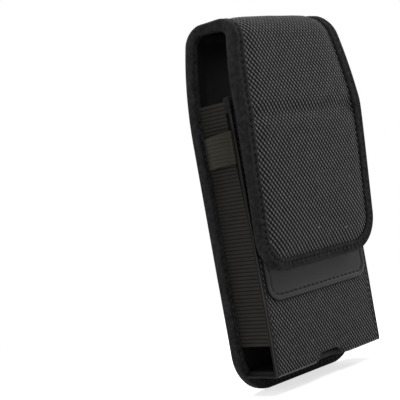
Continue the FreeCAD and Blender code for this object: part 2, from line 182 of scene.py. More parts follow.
def cornered(toSide, toEnd, radius):  # how far in from an outline with round corners
    if toSide < radius and toEnd < radius:
        return radius - math.hypot(radius - toSide, radius - toEnd)
    return min(toSide, toEnd)


def rolled(e, wide, drop):  # how far an edge is rounded off, e in from it
    return drop * max(0.0, 1 - e / wide) ** 2


def crowded(count):  # shares of a half width, closer together towards both sides
    return [1.25 * t - 0.25 * t**3 for t in (-1 + 2 * k / count for k in range(count + 1))]


def planArea(plan):  # square metres
    points, faces = plan
    total = 0.0
    for face in faces:
        ring = [points[i] for i in face]
        total += abs(sum(a[0] * b[1] - b[0] * a[1] for a, b in zip(ring, ring[1:] + ring[:1]))) / 2
    return total * mm * mm


def gridPlan(columns, rows, halfWidth=None, holes=(), cuts=()):
    # columns are shares of halfWidth(s), or mm without one; holes have rounded rims, cuts are plain
    points = [(x * halfWidth(s) if halfWidth else x, s) for s in rows for x in columns]
    wide = len(columns)
    gone, faces = set(), []
    for hole in holes:
        cx, cs = hole["middle"]
        hx, hs = hole["half"]
        i0, i1 = (min(range(wide), key=lambda i: abs(columns[i] - cx - k * (hx + hole["margin"]))) for k in (-1, 1))
        j0, j1 = (min(range(len(rows)), key=lambda j: abs(rows[j] - cs - k * (hs + hole["margin"]))) for k in (-1, 1))
        gone |= {(i, j) for i in range(i0, i1) for j in range(j0, j1)}
        loop = [(i, j0) for i in range(i0, i1)] + [(i1, j) for j in range(j0, j1)]
        loop += [(i, j1) for i in range(i1, i0, -1)] + [(i0, j) for j in range(j1, j0, -1)]
        ring = [j * wide + i for i, j in loop]
        mx, ms = (columns[i0] + columns[i1]) / 2, (rows[j0] + rows[j1]) / 2
        wx, ws = (columns[i1] - columns[i0]) / 2, (rows[j1] - rows[j0]) / 2
        for share in (0.5, 1.0):
            made = []
            for i, j in loop:
                px, ps = columns[i], rows[j]
                qx, qs = (px - mx) / wx * hx, (ps - ms) / ws * hs
                r = hole["radii"][0 if qs < 0 else 1]
                kx, ks = math.copysign(hx - r, qx), math.copysign(hs - r, qs)
                if abs(qx) > hx - r and abs(qs) > hs - r:
                    size = math.hypot(qx - kx, qs - ks) / r
                    qx, qs = kx + (qx - kx) / size, ks + (qs - ks) / size
                made.append(len(points))
                points.append((px + (cx + qx - px) * share, ps + (cs + qs - ps) * share))
            for k in range(len(loop)):
                m = (k + 1) % len(loop)
                faces.append((ring[k], ring[m], made[m], made[k]))
            ring = made
    for x0, x1, s0, s1 in cuts:
        gone |= {
            (i, j) for i in range(wide - 1) for j in range(len(rows) - 1)
            if x0 < (columns[i] + columns[i + 1]) / 2 < x1 and s0 < (rows[j] + rows[j + 1]) / 2 < s1
        }
    for j in range(len(rows) - 1):
        for i in range(wide - 1):
            if (i, j) not in gone:
                k = j * wide + i
                faces.append((k, k + 1, k + wide + 1, k + wide))
    return points, faces


def pointOutwards(mesh, merge=0.0):  # once points nearer than merge are joined
    work = bmesh.new()
    work.from_mesh(mesh)
    if merge:
        bmesh.ops.remove_doubles(work, verts=work.verts, dist=merge)
    bmesh.ops.recalc_face_normals(work, faces=work.faces)
    work.to_mesh(mesh)
    work.free()


def meshPiece(name, points, polys, marks=None, sharp=50):  # marks are (u, v) for each face's corners in turn
    mesh = bpy.data.meshes.new(name)
    mesh.from_pydata(points, [], polys)
    if marks:
        layer = mesh.uv_layers.new(name="cloth")
        for loop, mark in zip(layer.data, marks):
            loop.uv = mark
    pointOutwards(mesh)
    mesh.shade_smooth()
    mesh.set_sharp_from_angle(angle=math.radians(sharp))
    return linked(name, mesh)


def slab(name, plan, place, near, far, layout=lambda x, s: (x, s)):  # a closed sheet between two depths
    points, faces = plan
    used = sorted({i for f in faces for i in f})
    index = {v: k for k, v in enumerate(used)}
    count = len(used)
    spots = [points[i] for i in used]
    verts = [place(x, s, depth(x, s)) for depth in (near, far) for x, s in spots]
    flat = [tuple(c * mm for c in layout(x, s)) for x, s in spots]
    polys, marks, edges = [], [], {}
    for face in faces:
        face = [index[i] for i in face]
        polys += [face, [i + count for i in reversed(face)]]
        marks += [flat[i] for i in face + face[::-1]]
        middle = (sum(flat[i][0] for i in face) / len(face), sum(flat[i][1] for i in face) / len(face))
        for a, b in zip(face, face[1:] + face[:1]):
            edges[a, b] = middle
    for (a, b), middle in sorted(edges.items()):
        if (b, a) in edges:
            continue
        run = (flat[b][0] - flat[a][0], flat[b][1] - flat[a][1])
        size = max(1e-9, math.hypot(*run))
        out = (run[1] / size, -run[0] / size)
        if out[0] * (flat[a][0] - middle[0]) + out[1] * (flat[a][1] - middle[1]) < 0:
            out = (-out[0], -out[1])
        polys.append([b, a, a + count, b + count])
        deepA, deepB = ((verts[i] - verts[i + count]).length for i in (a, b))
        marks += [flat[b], flat[a], (flat[a][0] + out[0] * deepA, flat[a][1] + out[1] * deepA)]
        marks.append((flat[b][0] + out[0] * deepB, flat[b][1] + out[1] * deepB))
    return meshPiece(name, verts, polys, marks)


def sweep(name, frames, section, place, closed=False):  # a closed section carried along a line on a slab
    verts, marks, polys = [], [], []
    step = frames[1][4] - frames[0][4]
    for x, s, mx, ms, run in frames:
        ring = section(x, s, run)
        verts += [place(x + mx * inward, s + ms * inward, depth) for inward, depth in ring]
    size, rings = len(ring), len(frames)
    girth = [0.0]
    for k in range(size):
        girth.append(girth[-1] + math.dist(ring[k], ring[(k + 1) % size]))
    for i in range(rings if closed else rings - 1):
        j = (i + 1) % rings
        for k in range(size):
            m = (k + 1) % size
            polys.append([i * size + k, j * size + k, j * size + m, i * size + m])
            for u, v in ((i, k), (i + 1, k), (i + 1, k + 1), (i, k + 1)):
                marks.append((u * step * mm, girth[v] * mm))
    if not closed:
        for first in (0, (rings - 1) * size):
            polys.append(list(range(first, first + size)))
            marks += [(first * mm, girth[k] * mm) for k in range(size)]
    return meshPiece(name, verts, polys, marks)


def evenly(points, step, way=1):  # (x, s) points at even steps, each with the direction to its inner side
    runs = [0.0]
    for a, b in zip(points, points[1:]):
        runs.append(runs[-1] + math.dist(a, b))
    count = max(2, round(runs[-1] / step))
    line, k = [], 0
    for i in range(count + 1):
        run = runs[-1] * i / count
        while k < len(points) - 2 and runs[k + 1] < run:
            k += 1
        t = (run - runs[k]) / max(1e-9, runs[k + 1] - runs[k])
        line.append(tuple(points[k][c] + (points[k + 1][c] - points[k][c]) * t for c in (0, 1)))
    frames = []
    for i, (x, s) in enumerate(line):
        a, b = line[max(0, i - 1)], line[min(count, i + 1)]
        size = math.dist(a, b)
        tx, ts = (b[0] - a[0]) / size, (b[1] - a[1]) / size
        frames.append((x, s, -way * ts, way * tx, runs[-1] * i / count))
    return frames


def settle(piece):  # modifiers made final
    graph = bpy.context.evaluated_depsgraph_get()
    mesh = bpy.data.meshes.new_from_object(piece.evaluated_get(graph))
    piece.modifiers.clear()
    old, piece.data = piece.data, mesh
    mesh.name = piece.name
    bpy.data.meshes.remove(old)
    return piece


def markRims(piece, turn=16):  # 1 on vertices where the surface turns sharply, else 0
    work = bmesh.new()
    work.from_mesh(piece.data)
    rim = [0.0] * len(work.verts)
    for edge in work.edges:
        if len(edge.link_faces) == 2 and edge.calc_face_angle() > math.radians(turn):
            for vert in edge.verts:
                rim[vert.index] = 1.0
    work.free()
    piece.data.attributes.new("rim", "FLOAT", "POINT").data.foreach_set("value", rim)


def roundRims(piece, width, segments=3, corner=50, sharp=60):  # angles in degrees
    bevel = piece.modifiers.new("rims", "BEVEL")
    bevel.width, bevel.segments = width * mm, segments
    bevel.limit_method, bevel.angle_limit = "ANGLE", math.radians(corner)
    settle(piece)
    piece.data.shade_smooth()
    piece.data.set_sharp_from_angle(angle=math.radians(sharp))
    return piece


# Finishes


def linear(*levels):  # 0 to 255 as seen, to a shader's colour
    return tuple((c / 255 / 12.92 if c <= 10 else ((c / 255 + 0.055) / 1.055) ** 2.4) for c in levels) + (1.0,)


def shades(colour, low, high):  # a darker and a paler tone of it
    return tuple(linear(*(share * c for c in colour)) for share in (low, high))


class Bench:  # short calls for a tree's nodes
    def __init__(self, tree):
        self.tree = tree

    def join(self, value, socket):
        if isinstance(value, bpy.types.NodeSocket):
            self.tree.links.new(value, socket)
        elif value is not None:
            socket.default_value = value

    def node(self, kind, inputs=None, output=0, **settings):
        made = self.tree.nodes.new(kind)
        for key, value in settings.items():
            setattr(made, key, value)
        for key, value in (inputs or {}).items():
            self.join(value, made.inputs[key])
        return made.outputs[output]

    def calc(self, operation, a, b=None, c=None):
        return self.node("ShaderNodeMath", {0: a, 1: b, 2: c}, operation=operation)

    def seen(self):  # 1 where it is looked at, straight or in metal or glass, 0 where it only gives light
        path = self.tree.nodes.new("ShaderNodeLightPath")
        direct = self.calc("MAXIMUM", path.outputs["Is Camera Ray"], path.outputs["Is Glossy Ray"])
        return self.calc("MAXIMUM", direct, path.outputs["Is Transmission Ray"])


class Finish(Bench):  # a material
    def __init__(self, name, colour, roughness, specular=0.2, metallic=0.0):
        self.material = bpy.data.materials.new(name)
        self.material.use_nodes = True
        super().__init__(self.material.node_tree)
        self.shader = self.tree.nodes["Principled BSDF"]
        self.set("Base Color", linear(*colour))
        self.set("Roughness", roughness)
        self.set("Specular IOR Level", specular)
        self.set("Metallic", metallic)

    def set(self, socket, value):
        self.join(value, self.shader.inputs[socket])

    def tint(self, amount, colour, low, high):  # from a darker to a paler tone of the colour
        self.set("Base Color", self.mix(amount, *shades(colour, low, high)))

    def parts(self, vector):  # its three values
        split = self.tree.nodes.new("ShaderNodeSeparateXYZ")
        self.join(vector, split.inputs[0])
        return split.outputs

    def cloth(self):  # the piece's own (u, v), in metres
        return self.parts(self.node("ShaderNodeUVMap", uv_map="cloth"))[:2]

    def wave(self, at, pitch, kind="SINE"):  # one beat for each pitch, in mm
        return self.calc(kind, self.calc("MULTIPLY", at, 2 * math.pi / (pitch * mm)))

    def place(self):  # in the piece's own frame, in metres
        return self.node("ShaderNodeTexCoord", output="Object")

    def noise(self, scale, detail=3.0, at=None, roughness=0.55):
        return self.node(
            "ShaderNodeTexNoise",
            {"Vector": at or self.place(), "Scale": scale, "Detail": detail, "Roughness": roughness},
        )

    def between(self, amount, low, high):  # amount 0 to 1 onto low to high
        return self.node("ShaderNodeMapRange", {"Value": amount, "To Min": low, "To Max": high})

    def mix(self, amount, low, high):
        made = self.tree.nodes.new("ShaderNodeMix")
        made.data_type = "RGBA"
        for key, value in ((0, amount), (6, low), (7, high)):
            self.join(value, made.inputs[key])
        return made.outputs[2]

    def relief(self, height, depth, strength=1.0, under=None):
        return self.node(
            "ShaderNodeBump",
            {"Height": height, "Distance": depth * mm, "Strength": strength, "Normal": under},
        )


weave = dict(
    across=1.0, up=1.5,  # one yarn, mm
    # the yarn tops are lighter as a painted sheen and the gaps near black as painted shade, on top of the weave's own
    # pattern
    low=(2, 2, 3), high=(127, 127, 126), crisp=2.8,
    stand=0.33, lean=-0.15, weft=0.35,  # how far the yarns stand out, and the lean that draws the diagonals
    dust=160.0, fibre=2600.0, slub=520.0,
    relief=0.45, lint=26.0, lintSize=0.4,
)


# shade scales the whole cloth: above 1 it makes a painted lit copy, below 1 a painted shaded copy
def makeNylon(name, cut, shade=1.0):
    f = Finish(name, (40, 40, 41), 0.65, specular=0.05)
    u, v = f.cloth()
    p = f.calc("MULTIPLY", u, math.pi / (cut["across"] * mm))
    q = f.calc("MULTIPLY", v, math.pi / (cut["up"] * mm))
    rising = f.calc("MULTIPLY_ADD", f.calc("COSINE", f.calc("SUBTRACT", p, q)), cut["stand"], 0.5)
    floats = f.calc("MULTIPLY_ADD", f.calc("COSINE", f.calc("ADD", p, q)), cut["lean"], rising)
    weft = f.calc("ABSOLUTE", f.calc("SINE", q))
    height = f.calc("MAXIMUM", floats, f.calc("MULTIPLY", weft, cut["weft"]))
    dust, fibre, slub = f.noise(cut["dust"], 4.0), f.noise(cut["fibre"], 2.0), f.noise(cut["slub"], 2.0)
    # light: the yarn floats as a painted sheen, the gaps between them as painted shade
    light = f.calc("POWER", f.calc("MAXIMUM", floats, 0.0), cut["crisp"])
    light = f.calc("MULTIPLY_ADD", weft, -0.02, f.calc("ADD", light, 0.03))
    # the shade level rides on the dust tone, as painted light
    for noise, low, high in ((fibre, 0.65, 1.35), (dust, 0.75 * shade, 1.25 * shade), (slub, 0.55, 1.45)):
        light = f.calc("MULTIPLY", light, f.between(noise, low, high))
    spots = {"Vector": f.node("ShaderNodeUVMap", uv_map="cloth"), "Scale": cut["lint"]}
    speck = f.node("ShaderNodeTexVoronoi", spots, voronoi_dimensions="2D")
    speck = f.calc("LESS_THAN", speck, cut["lintSize"] * mm * cut["lint"])
    light = f.calc("MAXIMUM", light, f.calc("MULTIPLY", speck, 1.1))
    f.set("Base Color", f.mix(light, linear(*cut["low"]), linear(*cut["high"])))
    f.set("Roughness", f.between(height, 0.9, 0.55))
    f.set("Normal", f.relief(height, cut["relief"], 0.8, f.relief(fibre, 0.05, 0.4)))
    return f.material


bindingPull = dict(
    pitch=3.3, line=3.1, wide=0.8, edge=0.55,  # mm, where the stitches draw the tape in with painted shade in their pits, and the edge darkened as painted shade
    rib=0.62, fuzz=1500.0, crumple=420.0, patchy=120.0,
)


def makeTape(name, colour):
    f = Finish(name, colour, 0.75, specular=0.08)
    u, v = f.cloth()
    pull = bindingPull
    ribs = f.calc("MULTIPLY_ADD", f.wave(u, pull["rib"]), 0.5, 0.5)
    fuzz, crumple, patchy = (f.noise(pull[size], 3.0) for size in ("fuzz", "crumple", "patchy"))
    amount = f.calc("MULTIPLY_ADD", ribs, 0.22, f.calc("MULTIPLY_ADD", fuzz, 0.4, f.between(patchy, -0.2, 0.2)))
    amount = f.calc("MULTIPLY_ADD", f.calc("SUBTRACT", crumple, 0.5), 1.3, amount)
    near = f.calc("DIVIDE", f.calc("SUBTRACT", v, pull["line"] * mm), pull["wide"] * mm)
    row = f.calc("EXPONENT", f.calc("MULTIPLY", f.calc("MULTIPLY", near, near), -1.0))
    # the stitch pits are darkened as painted shade
    pitShade = f.calc("MULTIPLY", f.calc("MULTIPLY_ADD", f.wave(u, pull["pitch"], "COSINE"), 0.5, 0.5), row)
    amount = f.calc("MULTIPLY_ADD", f.calc("POWER", pitShade, 2.0), -1.1, amount)
    # the tape's inner edge is darkened as painted shade where it meets the nylon
    amount = f.calc("MULTIPLY_ADD", f.calc("LESS_THAN", v, pull["edge"] * mm), -0.9, amount)
    f.tint(amount, colour, 0.4, 1.5)
    f.set("Roughness", f.between(fuzz, 0.65, 0.9))
    f.set("Normal", f.relief(ribs, 0.12, 0.6, f.relief(crumple, 0.5, 0.5, f.relief(fuzz, 0.08, 0.5))))
    return f.material


def makeWebbing(name, colour, pitch, low, thread=0.55, axis=1):  # its ribs are in the mesh, their grooves are darkened as painted shade
    f = Finish(name, colour, 0.7, specular=0.08)
    spot = f.parts(f.place())
    yarns = f.calc("MULTIPLY_ADD", f.wave(spot[axis], thread), 0.5, 0.5)
    rise = f.calc("SUBTRACT", spot[2], low * mm)
    grooveShade = f.calc("ABSOLUTE", f.calc("SINE", f.calc("MULTIPLY", rise, math.pi / (pitch * mm))))
    fuzz, patchy = f.noise(1300.0, 3.0), f.noise(140.0, 3.0)
    amount = f.calc("MULTIPLY_ADD", yarns, 0.22, f.calc("MULTIPLY_ADD", fuzz, 0.4, f.between(patchy, -0.35, 0.0)))
    # painted shade in the grooves between the ribs
    amount = f.calc("MULTIPLY_ADD", f.calc("POWER", grooveShade, 0.45), 0.6, amount)
    f.tint(amount, colour, 0.58, 1.25)
    f.set("Normal", f.relief(yarns, 0.1, 0.6, f.relief(fuzz, 0.08, 0.5)))
    return f.material


def makeLining(name, colour, yarn=0.5):
    f = Finish(name, colour, 0.6, specular=0.08)
    u, v = f.cloth()
    fine = f.calc("MULTIPLY", f.wave(u, yarn), f.wave(v, yarn))
    f.tint(f.calc("MULTIPLY_ADD", fine, 0.2, f.noise(90.0, 3.0)), colour, 0.75, 1.25)
    f.set("Normal", f.relief(fine, 0.05, 0.5))
    return f.material


def makeLeather(name, colour):
    f = Finish(name, colour, 0.5, specular=0.12)
    grain = f.node("ShaderNodeTexVoronoi", {"Vector": f.place(), "Scale": 1400.0}, feature="F1")
    broad, fine = f.noise(70.0, 4.0), f.noise(2200.0, 3.0)
    shade = f.calc("MULTIPLY_ADD", grain, 0.35, f.calc("MULTIPLY_ADD", broad, 0.5, 0.1))
    f.tint(shade, colour, 0.86, 1.12)
    f.set("Roughness", f.between(broad, 0.42, 0.6))
    f.set("Normal", f.relief(grain, 0.05, 0.5, f.relief(fine, 0.03, 0.4)))
    return f.material


def makePaintedSteel(name, colour, bareSteelAndGlint=(128, 130, 128)):  # bare steel on worn rims, which also stands as a painted highlight where edges catch light
    f = Finish(name, colour, 0.3, specular=0.11)
    grain, broad = f.noise(1800.0, 2.0), f.noise(60.0, 4.0)
    rim = f.node("ShaderNodeAttribute", output="Fac", attribute_name="rim")
    rimWearAndGlint = f.calc("MULTIPLY", f.calc("POWER", rim, 3.0), f.between(f.noise(260.0, 3.0), 0.1, 1.1))
    f.set("Base Color", f.mix(rimWearAndGlint, linear(*colour), linear(*bareSteelAndGlint)))
    f.set("Roughness", f.between(broad, 0.24, 0.4))
    f.set("Normal", f.relief(grain, 0.02, 0.25))
    return f.material


def makeBareMetal(name, colour, roughness, scale=900.0, metal=1.0):
    f = Finish(name, colour, roughness, specular=0.5, metallic=metal)
    scuffs = f.noise(scale, 4.0)
    f.tint(scuffs, colour, 0.9, 1.0)
    f.set("Roughness", f.between(scuffs, roughness * 0.75, roughness * 1.4))
    f.set("Normal", f.relief(scuffs, 0.01, 0.2))
    return f.material


def makeThread(name, colour):
    f = Finish(name, colour, 0.55, specular=0.25)
    twist = f.noise(3000.0, 2.0)
    f.tint(twist, colour, 0.7, 1.3)
    f.set("Normal", f.relief(twist, 0.04, 0.6))
    return f.material


ballisticNylon = makeNylon("ballisticNylon", weave)
# the strap's copy is painted darker as painted shade, the band's painted lighter as a lit copy
strapNylon = makeNylon("strapNylon", dict(weave, across=0.95, up=1.35), 0.85)
bandNylon = makeNylon("bandNylon", dict(weave, high=(130, 130, 129)), 1.15)
bindingTape = makeTape("bindingTape", (38, 38, 40))
liningCloth = makeLining("liningCloth", (16, 16, 18))
sideElastic = makeWebbing("sideElastic", (41, 40, 37), 1.82, -97.8)
loopWebbing = makeWebbing("loopWebbing", (55, 53, 47), 1.86, -9.8)
tabWebbing = makeWebbing("tabWebbing", (40, 39, 36), 0.8, 11.5, thread=0.9, axis=0)
patchLeather = makeLeather("patchLeather", (58, 58, 58))
clipSteel = makePaintedSteel("clipSteel", (8, 12, 13))
rivetSatin = makeBareMetal("rivetSatin", (72, 72, 68), 0.42, metal=0.15)
ringNickel = makeBareMetal("ringNickel", (232, 228, 222), 0.14, 500.0)
magnetPlating = makeBareMetal("magnetPlating", (170, 168, 162), 0.25)
tapeThread = makeThread("tapeThread", (34, 34, 36))
# dark nylon for turned edges, as painted shade
edgeNylon = makeLining("edgeNylon", (24, 24, 25))
# paler colour for folds that catch light, a painted highlight
foldLight = makeLining("foldLight", (62, 61, 58))
cutEdge = makeLining("cutEdge", (13, 13, 14))
hemLight = makeThread("hemLight", (84, 82, 77))
seamThread = makeThread("seamThread", (8, 8, 9))
patchThread = makeThread("patchThread", (10, 10, 11))
print("finishes made")


def dress(piece, finish):
    piece.data.materials.clear()
    piece.data.materials.append(finish)
    return piece


def paintFaces(piece, finishes, choose):  # choose gives 0 for the piece's own finish, or a number of these
    for finish in finishes:
        piece.data.materials.append(finish)
    for face in piece.data.polygons:
        face.material_index = choose(face.center / mm, face.normal)


# Shell: the back panel, carried over the fold into the flap, as one bent sheet
shellCut = dict(
    backFace=-12.5, bottom=-121.8, top=60.2,
    foldFront=(-45.6, 60.2), belly=(-49.2, 12.6), foot=(-43.66, -70.1), footHeight=-64.0,
    radii=(9.0, 13.0, 30.0), creaseDeep=1.6, creaseWidth=3.6, creaseDrop=1.5, creaseWave=0.6,
    halfWidth=45.8, waistStart=4.2, waistRadius=174.0,
    backCorner=20.0, flapCorner=18.5, flapTaper=1.0, flapTape=0.25, foldTape=0.25, flapCloth=0.16,
    thick=4.8, outerShare=3.8 / 4.8,
    inset=0.5, plump=1.5,
    foldFrom=5.0, flapLead=50.0, crowdLead=25.0, crowdLow=-25.0, crowdFade=50.0,  # where the foam crowds together
    pressed=0.85, pressedTo=4.8, pressedFrom=10.0, rimLift=0.8,  # the foam is drawn in under and beside the tape
    swell=1.1, swellFrom=4.5, swellReach=12.0, uneven=0.2, softFrom=4.0, softFade=6.0,
    flatLow=-72.0, flatTop=24.0, lowFade=20, topFade=24,  # the back lies flat between the first two
    pucker=0.1, puckerPitch=6.6, puckerFrom=7.5, puckerFade=3,
)
shellAt, shellRun = bentPath(
    [
        (shellCut["backFace"], shellCut["bottom"]), (shellCut["backFace"], shellCut["top"]),
        shellCut["foldFront"], shellCut["belly"], shellCut["foot"],
    ],
    shellCut["radii"],
)
shellPlace = along(shellAt)
foldTop = shellCut["top"] - shellCut["bottom"]
flapEnd = lengthWhere(shellAt, lambda y, z: shellCut["footHeight"] - z, foldTop + 40, shellRun)
crease = lengthWhere(shellAt, lambda y, z: shellCut["belly"][1] - z, foldTop + 40, shellRun)


def overFold(s):  # 0 on the back, 1 on the flap
    return smooth((s - foldTop - shellCut["foldFrom"]) / shellCut["flapLead"])


def foldShare(s):  # 1 where the foam crowds together over the fold and down to the crease
    begun = smooth((s - foldTop - shellCut["foldFrom"]) / shellCut["crowdLead"])
    return begun * smooth((shellAt(s)[1] - shellCut["crowdLow"]) / shellCut["crowdFade"])


def thickAt(s):
    return shellCut["thick"] + shellCut["plump"] * foldShare(s)


def tapeWide(s):
    return 1 + shellCut["flapTape"] * overFold(s) + shellCut["foldTape"] * foldShare(s)


def shellHalf(s):
    rise = shellAt(s)[1] - shellCut["waistStart"]
    radius = shellCut["waistRadius"]
    taper = shellCut["flapTaper"] * smooth((s - crease) / (flapEnd - crease))
    return shellCut["halfWidth"] - taper - (radius - math.sqrt(radius**2 - rise**2) if rise > 0 else 0)


def clothLayout(x, s):  # the flap's cloth is a little coarser across
    return x * (1 - shellCut["flapCloth"] * overFold(s)), s


def rimDistance(x, s):  # from the shell's outer edge
    nearEnd = min((s, shellCut["backCorner"]), (flapEnd - s, shellCut["flapCorner"]))
    return cornered(shellHalf(s) - abs(x), *nearEnd)


def softness(x, s):  # slow, shallow unevenness of the padding
    broad = 0.5 * math.sin(x * 0.11 + s * 0.05 + 0.6) + 0.3 * math.sin(s * 0.13 - x * 0.07)
    return broad + 0.2 * math.sin(x * 0.31 + 2.0)


def pressIn(e, s):
    cut = shellCut
    e /= tapeWide(s)
    if e >= cut["pressedTo"]:
        return cut["pressed"] * (1 - smooth((e - cut["pressedTo"]) / (cut["pressedFrom"] - cut["pressedTo"])))
    return cut["pressed"] + cut["rimLift"] * (1 - max(0.0, e) / cut["pressedTo"]) ** 3


def outerFace(x, s):  # depth of the nylon under the shell's path
    cut, e, z = shellCut, rimDistance(x, s), shellAt(s)[1]
    onBack = max(smooth((z - cut["flatTop"]) / cut["topFade"]), 0.5 * smooth((cut["flatLow"] - z) / cut["lowFade"]))
    puff = 1.0 if s > foldTop else onBack
    swell = cut["swell"] * (1 - math.exp(-max(0.0, e - cut["swellFrom"]) / cut["swellReach"]))
    fade = smooth((e - cut["softFrom"]) / cut["softFade"])
    wander = cut["creaseWave"] * math.sin(x * 0.09)
    fold = cut["creaseDeep"] * ridge(s - crease - cut["creaseDrop"] - wander, cut["creaseWidth"])
    drawn = smooth((cut["puckerFrom"] - e) / cut["puckerFade"])
    pucker = cut["pucker"] * math.sin(2 * math.pi * (x + s) / cut["puckerPitch"]) * drawn * fade
    return pressIn(e, s) - puff * (swell + cut["uneven"] * fade * softness(x, s)) + fade * fold + pucker


def innerFace(x, s):
    return thickAt(s) - pressIn(rimDistance(x, s), s)


def parting(x, s):  # between the foam and the lining
    near, far = pressIn(rimDistance(x, s), s), innerFace(x, s)
    return near + (far - near) * shellCut["outerShare"]


def shellPlan(fromS, endS, corner, step=1.6):
    way = 1 if endS > fromS else -1
    inset = shellCut["inset"]
    end, r = endS - way * inset, corner - inset
    rows = [(s, shellHalf(s) - inset) for s in spaced(fromS, end - way * r, step)]
    for k in range(1, 15):
        a = math.radians(90 * k / 14)
        s = end - way * r * (1 - math.sin(a))
        rows.append((s, shellHalf(s) - inset - r + r * math.cos(a)))
    widths = dict(rows)
    return gridPlan(crowded(56), [s for s, _ in rows], lambda s: widths[s])


def rimLine(fromS, endS, corner):  # the shell's edge from one side, round its end, to the other side
    way = 1 if endS > fromS else -1
    straight = endS - way * corner
    side = [(shellHalf(s), s) for s in spaced(fromS, straight, 1.0)]
    half = shellHalf(straight)
    for a in turnsOf(5, 91, 5):
        side.append((half - corner * (1 - math.cos(a)), straight + way * corner * math.sin(a)))
    return side + [(-x, s) for x, s in reversed(side)], way


backPlan = shellPlan(crease, 0.0, shellCut["backCorner"])
flapPlan = shellPlan(crease, flapEnd, shellCut["flapCorner"])
outside = dict(place=shellPlace, near=outerFace, far=parting, layout=clothLayout)
inside = dict(place=shellPlace, near=parting, far=innerFace)
backShell = dress(slab("backShell", backPlan, **outside), ballisticNylon)
flapShell = dress(slab("flapShell", flapPlan, **outside), ballisticNylon)
backLining = dress(slab("backLining", backPlan, **inside), liningCloth)
flapLining = dress(slab("flapLining", flapPlan, **inside), liningCloth)
print("shell and lining made")

# Binding: tape folded over the shell's edge, sewn along its middle
bindingCut = dict(
    step=0.66, stitch=3.3, dimple=0.45, stitchLine=2.4, stitchWide=0.8,
    face=[
        (4.9, 0.5), (4.6, 0.02), (3.8, -0.32), (3.0, -0.24), (2.4, -0.08),
        (1.8, -0.24), (1.1, -0.26), (0.5, 0.08), (0.12, 0.75), (0.0, 1.6),
    ],
    hidden=[(0.55, 2.4), (0.65, 1.5), (1.5, 0.62), (4.5, 0.62)],
)
bandHeights = (-66.3, 16.7)


def bindingSection(x, s, run):
    cut = bindingCut
    dip = cut["dimple"] * (0.15 + 0.85 * (0.5 + 0.5 * math.cos(2 * math.pi * run / cut["stitch"])) ** 2)
    dip += 0.05 * math.sin(run * 0.73) + 0.04 * math.sin(run * 1.91 + 1.0)
    z = shellAt(s)[1]
    raised = 0.0
    if s < foldTop:  # the band's ends are caught under the tape
        raised = 0.5 * smooth((z - bandHeights[0] + 2) / 3) * smooth((bandHeights[1] + 2 - z) / 3)
    ring, back = [], []
    for e, depth in cut["face"]:
        sink = dip * ridge(e - cut["stitchLine"], cut["stitchWide"])
        ring.append((e, depth + sink - raised * smooth(e / cut["stitchLine"])))
        back.append((e, thickAt(s) - depth - sink))
    inner = [(e, thickAt(s) - depth) for e, depth in reversed(cut["hidden"])]
    return [(e * tapeWide(s), d) for e, d in ring + back[::-1] + inner + cut["hidden"]]


def bindingPiece(name, endS, corner):
    line, way = rimLine(crease, endS, corner)
    frames = evenly(line, bindingCut["step"], way)
    return dress(sweep(name, frames, bindingSection, shellPlace), bindingTape), frames


backBinding, backRim = bindingPiece("backBinding", 0.0, shellCut["backCorner"])
flapBinding, flapRim = bindingPiece("flapBinding", flapEnd, shellCut["flapCorner"])
print("binding made")

# Pouch front: nylon carried down the front and under the bottom, with the port hole
frontCut = dict(
    face=-37.3, mouth=22.3, bottom=-113.3, back=-17.3, corner=2.4,
    half=42.0, sideFold=1.55, sideRound=0.75, sideDeep=1.1,
    nylonDeep=2.2, wallDeep=3.0,
    swell=0.5, sideLead=1, sideFade=18, footLead=2, footFade=20,
    bead=0.45, beadWidth=0.8, beadFrom=9, beadFade=5, plainStrip=2.0, foldLine=(0.15, 0.65), seam=3.0, uneven=0.12,
    portHalf=9.75, portRise=4.6, portReach=6.0, portRound=4.4,
)
frontLine = [(frontCut[y], frontCut[z]) for y, z in (("face", "mouth"), ("face", "bottom"), ("back", "bottom"))]
frontAt, frontRun = bentPath(frontLine, [frontCut["corner"]])
frontPlace = along(frontAt)
hemLength = lengthWhere(frontAt, lambda y, z: y - z + frontCut["bottom"] - frontCut["face"] - 1e-6, 100, frontRun)
portStart = lengthWhere(frontAt, lambda y, z: frontCut["bottom"] + frontCut["portRise"] - z, 0, frontRun)
portEnd = lengthWhere(frontAt, lambda y, z: y - frontCut["face"] - frontCut["portReach"], 100, frontRun)


def frontFace(x, s):
    cut = frontCut
    side = cut["half"] - abs(x)
    turned = max(0.0, cut["sideRound"] - side)
    rounding = cut["sideRound"] - math.sqrt(max(0.0, cut["sideRound"] ** 2 - turned**2))
    middle = smooth((side - cut["sideLead"]) / cut["sideFade"])
    middle *= smooth((hemLength - s - cut["footLead"]) / cut["footFade"])
    bead = cut["bead"] * ridge(s - hemLength, cut["beadWidth"]) * smooth((abs(x) - cut["beadFrom"]) / cut["beadFade"])
    fold = 0.1 * ridge(side - 1.2, 0.8)  # the cloth is doubled where it turns in
    sewn = 0.2 * ridge(side - cut["seam"], 0.6)
    soft = cut["uneven"] * smooth((side - cut["seam"]) / 6) * softness(x + 20, s + 40)
    return rounding - cut["swell"] * middle - (bead + fold - sewn) * smooth((hemLength - s + 8) / 4) - soft


def frontDeep(x, s):
    return frontCut["sideDeep"] if frontCut["half"] - abs(x) < frontCut["sideFold"] + 0.01 else frontCut["nylonDeep"]


